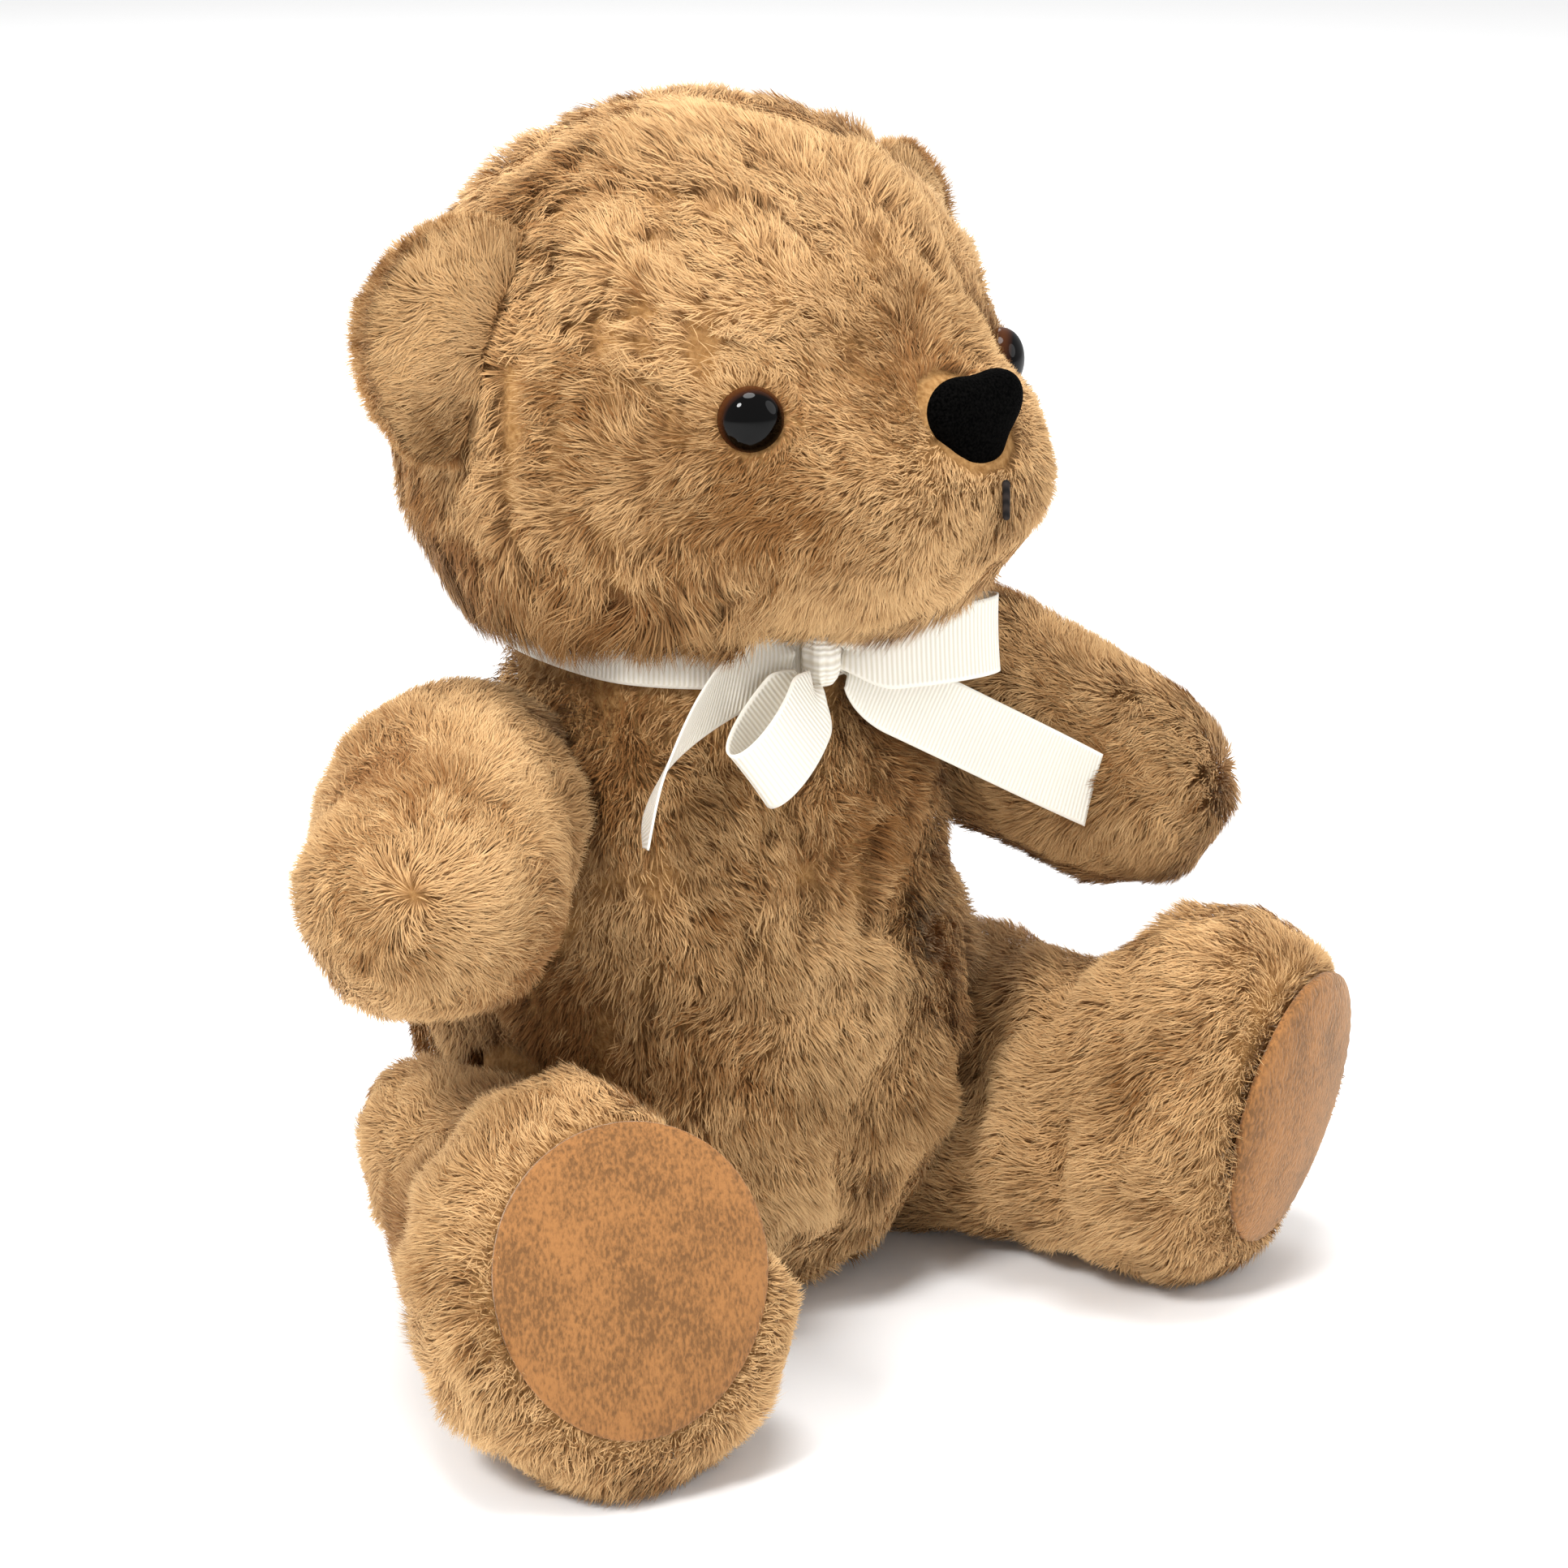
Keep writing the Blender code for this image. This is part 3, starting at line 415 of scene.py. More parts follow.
def arm_comb(side):
    top, paw_at = arm_ends(side)
    axis = unit(paw_at - top)

    def comb(points):
        """Back from the paw's tip to the shoulder, falling a little."""
        return np.tile(-axis - 0.65 * UP, (len(points), 1))
    return comb


def leg_comb(side):
    sole_at, sole_way = sole(side)
    turn = axes_along(sole_way)
    at, way = hip(side)
    axis = unit(sole_at - sole_way * 20 - at - way * 16)

    def comb(points):
        """Up the leg from the foot. Round the sole's rim, locks lean out from its middle, and
        one in three leans in, over the pad's edge."""
        local = (points - sole_at) @ turn
        spread = unit(np.concatenate([local[:, :2], np.zeros((len(local), 1))], 1)) @ turn.T
        rim = smooth_step(-7, -1.0, local[:, 2:])
        lap = 1 - 1.7 * (np.sin(points @ (91.0, 57.0, 73.0)) > 0.6)[:, None]
        return (-axis - 0.25 * UP) * (1 - rim) + spread * rim * lap
    return comb


def ear_comb(side):
    root, turn = ear_frame(side)

    def comb(points):
        """Out from the ear's root to its rim."""
        return unit(points - root + turn[:, 2] * 8)
    return comb


# ---- pile

def scatter(points, normals, faces, count, rng):
    """Spots spread evenly over a surface: a triangle by its area, then a place in it from two
    random numbers folded over its diagonal."""
    tris = np.concatenate([f if f.shape[1] == 3 else np.concatenate([f[:, :3], f[:, [0, 2, 3]]])
                           for f in faces])
    a, b, c = (points[tris[:, k]] for k in range(3))
    area = np.linalg.norm(np.cross(b - a, c - a), axis=1)
    pick = rng.choice(len(tris), count, p=area / area.sum())
    u, v = rng.random((2, count, 1))
    fold = u + v > 1
    u, v = np.where(fold, 1 - u, u), np.where(fold, 1 - v, v)

    def mix(rows):
        a, b, c = (rows[tris[pick, k]] for k in range(3))
        return a * (1 - u - v) + b * u + c * v
    return mix(points), unit(mix(normals))


def tuft(roots, tips, size, pull, rng):
    """Tips drawn towards their tuft's mean tip. A tuft is a cell of a jittered cubic grid."""
    cells = np.floor((roots + rng.normal(scale=size * 0.16, size=roots.shape)
                      + rng.uniform(0, size, 3)) / size).astype(np.int64)
    key = (cells[:, 0] * 73856093) ^ (cells[:, 1] * 19349663) ^ (cells[:, 2] * 83492791)
    _, which, counts = np.unique(key, return_inverse=True, return_counts=True)
    mean = np.stack([np.bincount(which, tips[:, k]) for k in range(3)], 1) / counts[:, None]
    share = pull * rng.uniform(0.5, 1.2, (len(counts), 1))[which]
    return tips + (mean[which] - tips) * share, rng.normal(size=(len(counts), 1))[which]


def pile_locks(spots, normals, comb, sizes, rng, length=1.0, lift=1.0, hang=0.0, dark=0.0):
    """Blades of pile, as points, faces, uv and normals. A lock leaves its root steeply, leans
    over along the comb and ends in a point: a kite bent across its widest place."""
    count = len(spots)
    long = sizes.pile / MM * length * rng.uniform(0.72, 1.15, (count, 1))
    deep = sizes.loft / MM * lift
    high = deep * rng.uniform(0.7, 1.35, (count, 1))
    swirl = sum(share * waves(spots, size, rng)
                for share, size in ((0.40, 34), (0.30, 13), (0.30, 5)))
    swirl = swirl + rng.normal(scale=0.36, size=(count, 1))
    way = comb(spots)
    way = turned(unit(way - normals * dot(way, normals)), normals, swirl)
    ruffle = 1 + 0.30 * waves(spots, 20, rng)
    roots = spots - normals * deep
    flat = np.sqrt(np.maximum(long ** 2 - high ** 2, 4.0))
    tips = roots + way * flat + normals * high * ruffle
    tips = tips - UP * hang * rng.uniform(0.6, 1.1, (count, 1))
    tips, shade = tuft(roots, tips, 2.1, sizes.clump, rng)
    tips, broad = tuft(roots, tips, 6.5, sizes.clump * 0.5, rng)
    bends = roots + (tips - roots) * 0.42 + normals * high * 0.32
    along = unit(tips - roots)
    across = unit(np.cross(along, normals))
    across = turned(across, along, rng.uniform(-0.7, 0.7, (count, 1)))
    half = sizes.width / MM / 2 * rng.uniform(0.7, 1.3, (count, 1))
    points = np.stack([roots, bends - across * half, bends + across * half, tips], 1)
    points[:, :, 2] = np.maximum(points[:, :, 2], 0.25)     # nothing below the seat
    start = 4 * np.arange(count)[:, None]
    faces = np.concatenate([start + (0, 2, 1), start + (1, 2, 3)])
    # dark is painted shade taken off each lock's tone; the rest of the tone differs at random
    # from tuft to tuft and lock to lock
    tone = np.clip(0.5 - dark + 0.10 * shade + 0.06 * broad + 0.14 * waves(spots, 45, rng)
                   + rng.normal(scale=0.10, size=(count, 1)), 0.03, 0.97)
    u = tone + np.array([[0, -0.004, 0.004, 0]])
    v = np.tile([[0.02, 0.45, 0.45, 0.98]], (count, 1))
    uv = np.stack([u, v], -1)
    face_way = unit(np.cross(across, along))
    face_way = face_way * np.sign(dot(face_way, normals) + 1e-9)
    shine = np.repeat(unit(face_way * 0.32 + normals * 0.85)[:, None], 4, axis=1)
    flip = dot(np.cross(across, along), normals)[:, 0] < 0
    faces = faces.reshape(2, count, 3)
    faces[:, flip] = faces[:, flip][:, :, ::-1]
    return points.reshape(-1, 3), faces.reshape(-1, 3), uv.reshape(-1, 2), shine.reshape(-1, 3)


def joint_reach(points, at, way):
    """How far points lie from a joint's axis, and far enough where they are off its face."""
    rise = (points - at) @ way
    out = np.linalg.norm(points - at - rise[:, None] * way, axis=1)
    return np.where(np.abs(rise) > 2.0, 1e3, out)


def clear_of_joints(points, joints):
    """True for spots that lie in none of the round patches where a limb meets the body."""
    return np.all([joint_reach(points, at, way) > radius for at, way, radius in joints], 0)


def at_points(value, points):
    """A number as it is, or a function's value at each point."""
    return value(points) if callable(value) else value


def lay_pile(name, body, surface, comb, count, parts, keep,
             length=1.0, lift=1.0, hang=0.0, dark=0.0):
    """Covers a surface with pile, and splits it by its turn round the body into pieces. Length,
    lift, hang and dark, a painted shade on the pile's tone, may be functions of the spots."""
    sizes = bpy.context.scene.bear_plush
    rng = np.random.default_rng(sizes.seed + sum(map(ord, name)))
    spots, normals = scatter(*surface, int(count * sizes.density), rng)
    kept = keep(spots)
    spots, normals = spots[kept], normals[kept]
    order = np.argsort(np.arctan2(spots[:, 1], spots[:, 0]))
    shares = [at_points(value, spots) for value in (length, lift, hang, dark)]
    points, faces, uv, shine = pile_locks(spots, normals, comb, sizes, rng, *shares)
    for index, members in enumerate(np.array_split(order, parts)):
        rows = (4 * members[:, None] + np.arange(4)).ravel()
        picked = faces.reshape(2, len(spots), 3)[:, members].reshape(-1, 3)
        renumber = np.zeros(4 * len(spots), np.int64)
        renumber[rows] = np.arange(len(rows))
        label = name + "_pile" + ("" if parts == 1 else "_" + "abcdef"[index])
        piece = new_piece(label, points[rows], [renumber[picked]], body, plush_pile(),
                          uv[rows], PILE_MAP, shine[rows])


# ---- materials

def linear(colour):
    """A six-figure sRGB hex, or three sRGB numbers, as linear RGBA."""
    if isinstance(colour, str):
        colour = [int(colour[k:k + 2], 16) / 255 for k in (1, 3, 5)]
    return [c / 12.92 if c <= 0.04045 else ((c + 0.055) / 1.055) ** 2.4 for c in colour] + [1.0]


def add(tree, kind, inputs=None, stops=(), **settings):
    """One shader node with its settings, each of its sockets set or linked, a node by its
    first output, and a colour ramp's stops as (place, colour)."""
    item = tree.nodes.new("ShaderNode" + kind)
    for key, value in settings.items():
        setattr(item, key, value)
    for key, value in (inputs or {}).items():
        if isinstance(value, bpy.types.Node):
            value = value.outputs[0]
        if isinstance(value, bpy.types.NodeSocket):
            tree.links.new(value, item.inputs[key])
        else:
            item.inputs[key].default_value = value
    for number, (place, colour) in enumerate(stops):
        marks = item.color_ramp.elements
        mark = marks[number] if number < 2 else marks.new(place)
        mark.position, mark.color = place, linear(colour)
    return item


def finish(name, **sockets):
    """A Principled material by name, made once, with constants on the shader's own sockets.
    The tree is None when the material is there already."""
    made = bpy.data.materials.get(name)
    if made:
        return made, None, None
    made = bpy.data.materials.new(name)
    made.use_nodes = True
    shader = made.node_tree.nodes["Principled BSDF"]
    for key, value in sockets.items():
        shader.inputs[key.replace("_", " ")].default_value = value
    return made, made.node_tree, shader


def grain(tree, per_metre, detail=2.0, roughness=0.5):
    """Noise on Object coordinates, with so many cells in a metre along each axis."""
    at = add(tree, "TexCoord").outputs["Object"]
    where = add(tree, "Mapping", {"Vector": at, "Scale": per_metre})
    return add(tree, "TexNoise",
               {"Vector": where, "Scale": 1.0, "Detail": detail, "Roughness": roughness})


def dress(tree, shader, pattern, stops, strength=0.0, depth_mm=0.0):
    """Colours a finish by a pattern's value, and lifts its surface by it."""
    hue = add(tree, "ValToRGB", {"Fac": pattern}, stops)
    tree.links.new(hue.outputs["Color"], shader.inputs["Base Color"])
    if strength:
        bump = add(tree, "Bump",
                   {"Height": pattern, "Strength": strength, "Distance": depth_mm * MM})
        tree.links.new(bump.outputs["Normal"], shader.inputs["Normal"])


def plush_pile():
    """Acrylic fur fabric, dyed golden tan: deeper at the backing, pale at the worn tips, with the
    tone changing from lock to lock. Soft, almost without shine. The map's first way is a lock's
    tone, lowered where painted shade is laid on the pile, and its second is how far up the lock."""
    made, tree, shader = finish("acrylic_fur_pile", Roughness=0.8, Specular_IOR_Level=0.22,
                                Sheen_Weight=0.22, Sheen_Roughness=0.4,
                                Sheen_Tint=linear("#F3DDB8"))
    if tree:
        colours = bpy.context.scene.bear_colours
        where = add(tree, "UVMap", uv_map=PILE_MAP)
        split = add(tree, "SeparateXYZ", {"Vector": where})
        shades = [tuple(shade) for shade in (colours.root, colours.middle, colours.tip)]
        hue = add(tree, "ValToRGB", {"Fac": split.outputs["Y"]}, zip((0.0, 0.5, 1.0), shades))
        cast = add(tree, "ValToRGB", {"Fac": split.outputs["X"]},
                   [(0.0, "#987C58"), (0.5, "#E8E4DE"), (1.0, "#FFFFFF")])
        # inputs 6 and 7 and output 2 are the Mix node's colours
        mix = add(tree, "Mix", {"Factor": 1.0, 6: hue, 7: cast}, data_type="RGBA",
                  blend_type="MULTIPLY")
        tree.links.new(mix.outputs[2], shader.inputs["Base Color"])
    return made


def plush_backing():
    """Knitted polyester under the pile, seen only between the locks: dull, with short fibres
    about 1.2 mm apart."""
    made, tree, shader = finish("knitted_fur_backing", Roughness=0.95, Specular_IOR_Level=0.1)
    if tree:
        dress(tree, shader, grain(tree, (820,) * 3),
              [(0.3, "#8C6438"), (0.7, "#B48A58")], 0.6, 0.6)
    return made


def sole_velour():
    """Short-nap polyester velour: matt, with fibre flecks and patches where the nap lies
    another way."""
    made, tree, shader = finish("short_nap_velour", Roughness=0.85, Specular_IOR_Level=0.25,
                                Sheen_Weight=0.45, Sheen_Roughness=0.35,
                                Sheen_Tint=linear("#FFE9CF"))
    if tree:
        base = tuple(bpy.context.scene.bear_colours.sole)
        # nap streaks 0.67 mm across and 1.6 mm long, coarser than the real fibre so as to show
        nap = grain(tree, (1500, 1500, 620), 2.0, 0.6)
        # patches about 14 mm across where a hand has brushed the nap
        lie = grain(tree, (70,) * 3, 4.0)
        both = add(tree, "Math", {0: lie, 1: 0.70, 2: nap}, operation="MULTIPLY_ADD")
        dark, light = [c * 0.80 for c in base], [min(1, c * 1.12) for c in base]
        dress(tree, shader, both, [(0.68, dark), (0.85, base), (1.0, light)], 0.55, 0.7)
    return made


def grosgrain():
    """Woven polyester grosgrain in ivory: thick weft ribs across the ribbon, a smooth narrow
    selvedge and a faint silky sheen. The map is the share across, and the length along in cm."""
    made, tree, shader = finish("ivory_grosgrain", Roughness=0.62, Specular_IOR_Level=0.4,
                                Sheen_Weight=0.25, Sheen_Roughness=0.3)
    if tree:
        per_cm = math.tau * 0.01 / bpy.context.scene.bear_bow.rib
        where = add(tree, "UVMap", uv_map=CLOTH_MAP)
        split = add(tree, "SeparateXYZ", {"Vector": where})
        turns = add(tree, "Math", {0: split.outputs["Y"], 1: per_cm}, operation="MULTIPLY")
        rib = add(tree, "Math", {0: turns}, operation="SINE")
        aside = add(tree, "Math", {0: split.outputs["X"], 1: 0.5}, operation="SUBTRACT")
        far = add(tree, "Math", {0: aside}, operation="ABSOLUTE")
        # the ribs end in a selvedge half a millimetre wide
        inner = add(tree, "MapRange", {"Value": far, "From Min": 0.47, "From Max": 0.44})
        height = add(tree, "Math", {0: rib, 1: inner}, operation="MULTIPLY")
        level = add(tree, "MapRange", {"Value": height, "From Min": -1.0})
        # the colour follows the ribs' height, as the bump does: painted shade in the grooves
        # between ribs and painted light on their crests
        dress(tree, shader, level,
              [(0.0, "#E4DDCB"), (0.45, "#F2EDE0"), (1.0, "#F8F4EA")], 0.6, 0.24)
    return made


def nose_flock():
    """Flocked plastic: black nylon fibres standing up, deep and matt, in bundles about 0.5 mm
    across."""
    made, tree, shader = finish("black_flocking", Roughness=0.95, Specular_IOR_Level=0.02)
    if tree:
        dress(tree, shader, grain(tree, (1900,) * 3),
              [(0.35, "#000000"), (0.75, "#0B0A09")], 0.8, 0.4)
    return made


def eye_plastic():
    """Moulded and polished acrylic safety eye: black pupil under a clear coat, with a thin
    dark amber rim."""
    made, tree, shader = finish("polished_acrylic_eye", Roughness=0.3, Specular_IOR_Level=0.0,
                                Coat_Weight=0.45, Coat_Roughness=0.02, Coat_IOR=1.4)
    if tree:
        where = add(tree, "UVMap", uv_map=CLOTH_MAP)
        out = add(tree, "SeparateXYZ", {"Vector": where}).outputs["Y"]
        dress(tree, shader, out,
              [(0.0, "#000000"), (0.84, "#020101"), (0.92, "#2E160A"), (1.0, "#4A2812")])
    return made


def thread():
    """Black cotton embroidery thread, its twist in slanted bands 1.4 mm apart."""
    made, tree, shader = finish("black_cotton_thread", Roughness=0.8, Specular_IOR_Level=0.2)
    if tree:
        at = add(tree, "TexCoord").outputs["Object"]
        twist = add(tree, "TexWave", {"Vector": at, "Scale": 260.0, "Distortion": 1.0},
                    bands_direction="DIAGONAL")
        dress(tree, shader, twist.outputs["Fac"], [(0.0, "#0E0B0A"), (1.0, "#2A2320")])
    return made


def mottled(name, low, high, grain_mm, roughness):
    """An inside part's finish: two close tones in grains of one size."""
    made, tree, shader = finish(name, Roughness=roughness)
    if tree:
        dress(tree, shader, grain(tree, (1000 / grain_mm,) * 3, 3.0), [(0.3, low), (0.7, high)])
    return made


# ---- skins and fur

def backing(name, body, surface, node, lift=1.0, joints=()):
    """The fabric that the pile is rooted in: the form drawn in along its normals by the loft,
    and not drawn in where a joint's washer lies behind it."""
    points, normals, faces = surface
    share = at_points(lift, points)
    for at, way, radius in joints:
        share = share * smooth_step(radius - 7, radius - 1, joint_reach(points, at, way))[:, None]
    points = points - normals * (bpy.context.scene.bear_plush.loft / MM * share + 0.3)
    points[:, 2] = np.maximum(points[:, 2], 0.2)
    piece = new_piece(name, points, faces, body, plush_backing())
    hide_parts(node)
    return piece


def build_head():
    form = head_form()
    eyes = [face_spot(side * EYE_SPREAD, EYE_RISE)[0] for _, side in SIDES]
    nose_at, nose_way = face_spot(0, NOSE_RISE)
    turn = axes_along(nose_way)
    joints = [(*neck(), HEAD_PATCH)]

    def keep(spots):
        """Off the neck's flat face, and clear of the eyes and the nose."""
        kept = clear_of_joints(spots, joints)
        for at in eyes:
            kept &= away(spots, at)[:, 0] > 5.9
        local = (spots - nose_at) @ turn
        kept &= ((local[:, 0] / 11.2) ** 2 + (local[:, 1] / 8.8) ** 2 > 1) | (local[:, 2] < -20)
        return kept

    def near_face(spots):
        """1 far away, and less round the eyes, nose and muzzle, where the pile is clipped."""
        share = 1 - 0.28 * smooth_step(62, 30, away(spots, nose_at))
        for at in eyes:
            share = share * (1 - 0.45 * smooth_step(16, 7, away(spots, at)))
        return share * (1 - 0.35 * smooth_step(20, 9, away(spots, nose_at)))

    def length(spots):
        """The lift's share, and longer along the chin, where the pile hangs over the ribbon."""
        return near_face(spots) * (1 + 0.9 * smooth_step(NECK_Z + 16, NECK_Z + 4, spots[:, 2:]))

    def hang(spots):
        """Up to 5 mm of straight fall along the bottom edge, over the ribbon's top."""
        return 5.0 * smooth_step(NECK_Z + 18, NECK_Z + 6, spots[:, 2:])

    def dark(spots):
        """Painted shade over the lower cheeks, where the face turns down, away from the light."""
        low = smooth_step(NECK_Z + 66, NECK_Z + 44, spots[:, 2:])
        return 0.26 * smooth_step(26, 46, away(spots, nose_at)) * low

    def comb(spots):
        way = unit(head_comb(spots))
        for at in eyes:
            near = smooth_step(15, 7, away(spots, at))
            way = way * (1 - near) + unit(spots - at) * near
        return way

    backing("head_backing", "head", form_surface(form, 80, 120), "head_skin", near_face, joints)
    lay_pile("head", "head", form_surface(form, 110, 170), comb, LOCKS["head"], 3, keep,
             length, near_face, hang, dark)
    for tag, side in SIDES:
        flap = ear_surface(side, 40, 64)
        backing("ear_backing_" + tag, "head", flap, "ear_" + tag, 0.75)
        lay_pile("ear_" + tag, "head", flap, ear_comb(side), LOCKS["ear"], 1,
                 lambda spots: form_gap(spots, form) > -2.0, 0.95, 0.75)


def build_torso():
    form = torso_form()
    joints = [(*neck(), NECK_PATCH)]
    for _, side in SIDES:
        joints += [(*shoulder(side), SHOULDER_PATCH), (*hip(side), HIP_PATCH)]

    def below_band(spots):
        """The lift, low where the ribbon presses the pile down."""
        return 1.3 - 0.85 * smooth_step(136, 143, spots[:, 2:])

    def length(spots):
        """Shorter under the ribbon too."""
        return 1 - 0.55 * smooth_step(136, 143, spots[:, 2:])

    def dark(spots):
        """Painted shade: a little over the whole torso, and more from 40 to 95 mm up, over the
        chest under the head.
        """
        return 0.04 + 0.22 * smooth_step(40, 95, spots[:, 2:])

    backing("torso_backing", "torso", form_surface(form, 80, 110), "torso_skin", below_band,
            joints)
    lay_pile("torso", "torso", form_surface(form, 120, 170), torso_comb, LOCKS["torso"],
             3, lambda spots: clear_of_joints(spots, joints), length, below_band, dark=dark)


def build_arms():
    for tag, side in SIDES:
        form = arm_form(side)
        joints = [(*shoulder(side), ARM_PATCH)]
        backing("arm_backing_" + tag, "arm_" + tag, form_surface(form, 44, 64),
                "arm_%s_skin" % tag, 0.85, joints)
        # dark=0.07 lowers the arms' pile tone all over: painted shade
        lay_pile("arm_" + tag, "arm_" + tag, form_surface(form, 70, 100), arm_comb(side),
                 LOCKS["arm"], 1, lambda spots: clear_of_joints(spots, joints), 1.0, 0.85,
                 dark=0.07)


def on_sole(points, side):
    """Each point's place on the sole: radius as a share of the pad's oval, and height."""
    at, way = sole(side)
    local = (points - at) @ axes_along(way)
    up = (local[:, 1] - 3.0) / (SOLE_HEIGHT / 2)
    return np.hypot(local[:, 0] / (SOLE_WIDTH / 2 * (1 + 0.06 * up)), up), local[:, 2]


def build_legs():
    for tag, side in SIDES:
        form = leg_form(side)
        joints = [(*hip(side), HIP_PATCH)]

        def keep(spots):
            """Off the hip's face and off the pad."""
            spread, high = on_sole(spots, side)
            return clear_of_joints(spots, joints) & ((spread > 0.97) | (high < -8))

        def length(spots):
            """Shorter close round the pad."""
            spread, high = on_sole(spots, side)
            return (1 - 0.40 * smooth_step(1.25, 1.0, spread) * (high > -8))[:, None]

        def rim(spots):
            """The lift, lower close round the pad."""
            spread, high = on_sole(spots, side)
            return (1 - 0.25 * smooth_step(1.3, 1.0, spread) * (high > -8))[:, None]

        backing("leg_backing_" + tag, "leg_" + tag, form_surface(form, 60, 90),
                "leg_%s_skin" % tag, rim, joints)
        lay_pile("leg_" + tag, "leg_" + tag, form_surface(form, 90, 130), leg_comb(side),
                 LOCKS["leg"], 1, keep, length, rim)
        build_sole(tag, side)


def build_sole(tag, side):
    """The pad: an oval, crowned by one less the radius squared, its rim rolled down into the
    seam by the root of one less the radius's eighth power, and puckered by a cosine."""
    at, way = sole(side)
    along, around = 56, 96
    rays = ball_rays(along, around)
    spread = np.sqrt(np.maximum(0, 1 - rays[:, 2] ** 2))
    angle = np.arctan2(rays[:, 1], rays[:, 0])
    front = rays[:, 2] >= 0
    radius = np.where(front, np.sin(np.arccos(np.clip(rays[:, 2], 0, 1))), spread) ** 0.9
    y = radius * np.sin(angle)
    high = np.where(front, 3.0 * (1 - radius ** 2) + 1.3 * (1 - radius ** 8) ** 0.5 - 1.2, -2.3)
    ripple = 0.18 * np.cos(angle * 46) * smooth_step(0.8, 0.97, radius) * front
    local = np.stack([radius * np.cos(angle) * SOLE_WIDTH / 2 * (1 + 0.06 * y),
                      y * SOLE_HEIGHT / 2 + 3.0, high + ripple], 1)
    piece = new_piece("sole_" + tag, at + local @ axes_along(way).T, ball_faces(along, around),
                      "leg_" + tag, sole_velour())
    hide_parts("foot_pad_" + tag)


# ---- face

def build_face():
    for tag, side in SIDES:
        at, way = face_spot(side * EYE_SPREAD, EYE_RISE)
        rows, around = 28, 48
        rays = ball_rays(rows, around)
        radius = np.sqrt(np.maximum(0, 1 - rays[:, 2] ** 2))
        # a low dome over a short round skirt
        high = np.where(rays[:, 2] >= 0, 5.2 * np.maximum(rays[:, 2], 0) ** 0.9, 2.2 * rays[:, 2])
        local = np.stack([rays[:, 0] * 6.5, rays[:, 1] * 6.5, high - 2.0], 1)
        uv = np.stack([0.5 + 0.4 * rays[:, 0], radius], 1)
        uv[rays[:, 2] < 0, 1] = 1
        eye = new_piece("eye_" + tag, at + local @ axes_along(way).T, ball_faces(rows, around),
                        "head", eye_plastic(), uv)
        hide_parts("eye_%s_lens" % tag, "eye_%s_pupil" % tag)
    at, way = face_spot(0, NOSE_RISE)
    rows, around = 40, 72
    rays = ball_rays(rows, around)
    angle = np.arctan2(rays[:, 1], rays[:, 0])
    radius = np.sqrt(np.maximum(0, 1 - rays[:, 2] ** 2))
    # a triangle with round corners: the oval's radius grows and shrinks three times round
    lobe = 1 + 0.17 * np.cos(3 * (angle + math.pi / 2))
    high = np.where(rays[:, 2] >= 0, 5.6 * np.maximum(rays[:, 2], 0) ** 0.75, 2.2 * rays[:, 2])
    local = np.stack([radius * lobe * np.cos(angle) * 12.0, radius * lobe * np.sin(angle) * 10.2,
                      high - 2.0], 1)
    nose = new_piece("nose_flocked", at + local @ axes_along(way).T, ball_faces(rows, around),
                     "head", nose_flock())
    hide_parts("nose")


# ---- ribbon

def spline(points, share):
    """A Catmull-Rom curve through points, at shares from 0 to 1 of its run of points: half the
    sum of four cubics of how far a share lies between two points."""
    points = np.asarray(points, float)
    last = len(points) - 1
    i = np.minimum((share * last).astype(int), last - 1)
    f = (share * last - i)[:, None]
    a, p = points[np.maximum(i - 1, 0)], points[i]
    q, b = points[i + 1], points[np.minimum(i + 2, last)]
    bend, twist = a * 2 - p * 5 + q * 4 - b, p * 3 - a - q * 3 + b
    return (p * 2 + (q - a) * f + bend * f ** 2 + twist * f ** 3) / 2


def ribbon_run(name, node, line, across, folds=0.0):
    """A flat run: a line of middles and, at each, the whole width as a vector. Pleats are
    sines across the width that fade as the ribbon opens. The map is share across, and the
    length along in centimetres."""
    bow = bpy.context.scene.bear_bow
    width = np.linalg.norm(across, axis=1)
    side = across / width[:, None]
    along = unit(np.gradient(line, axis=0))
    out = unit(np.cross(side, along))
    s = np.linspace(-0.5, 0.5, 17)
    full = bow.width / MM
    tight = np.clip(1 - width / full, 0, 1)[:, None]
    pleat = folds * tight * (np.cos(s * math.tau * 1.5) + 0.4 * np.sin(s * math.tau * 2.6))
    curl = 0.25 * (s * 2) ** 2
    points = (line[:, None] + across[:, None] * s[None, :, None]
              + out[:, None] * (pleat - curl)[:, :, None])
    run = np.concatenate([[0], np.cumsum(np.linalg.norm(np.diff(line, axis=0), axis=1))])
    rows, cols = points.shape[:2]
    uv = np.stack(np.broadcast_arrays(s[None] + 0.5, run[:, None] / 10), -1)
    index = np.arange(rows * cols).reshape(rows, cols)
    quads = np.stack([index[:-1, :-1], index[1:, :-1], index[1:, 1:], index[:-1, 1:]], -1)
    piece = new_piece(name, points.reshape(-1, 3), [quads.reshape(-1, 4)], "torso", grosgrain(),
                      uv.reshape(-1, 2))
    solid = piece.modifiers.new("thickness", "SOLIDIFY")
    solid.thickness, solid.offset = bow.thickness, 0
    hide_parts(node)


def gather(share):
    """A run's width: under half of the ribbon's at the knot, full a quarter of the way along."""
    full = bpy.context.scene.bear_bow.width / MM
    return full * (0.42 + 0.58 * np.sin(np.minimum(1, share * 4) * math.pi / 2))


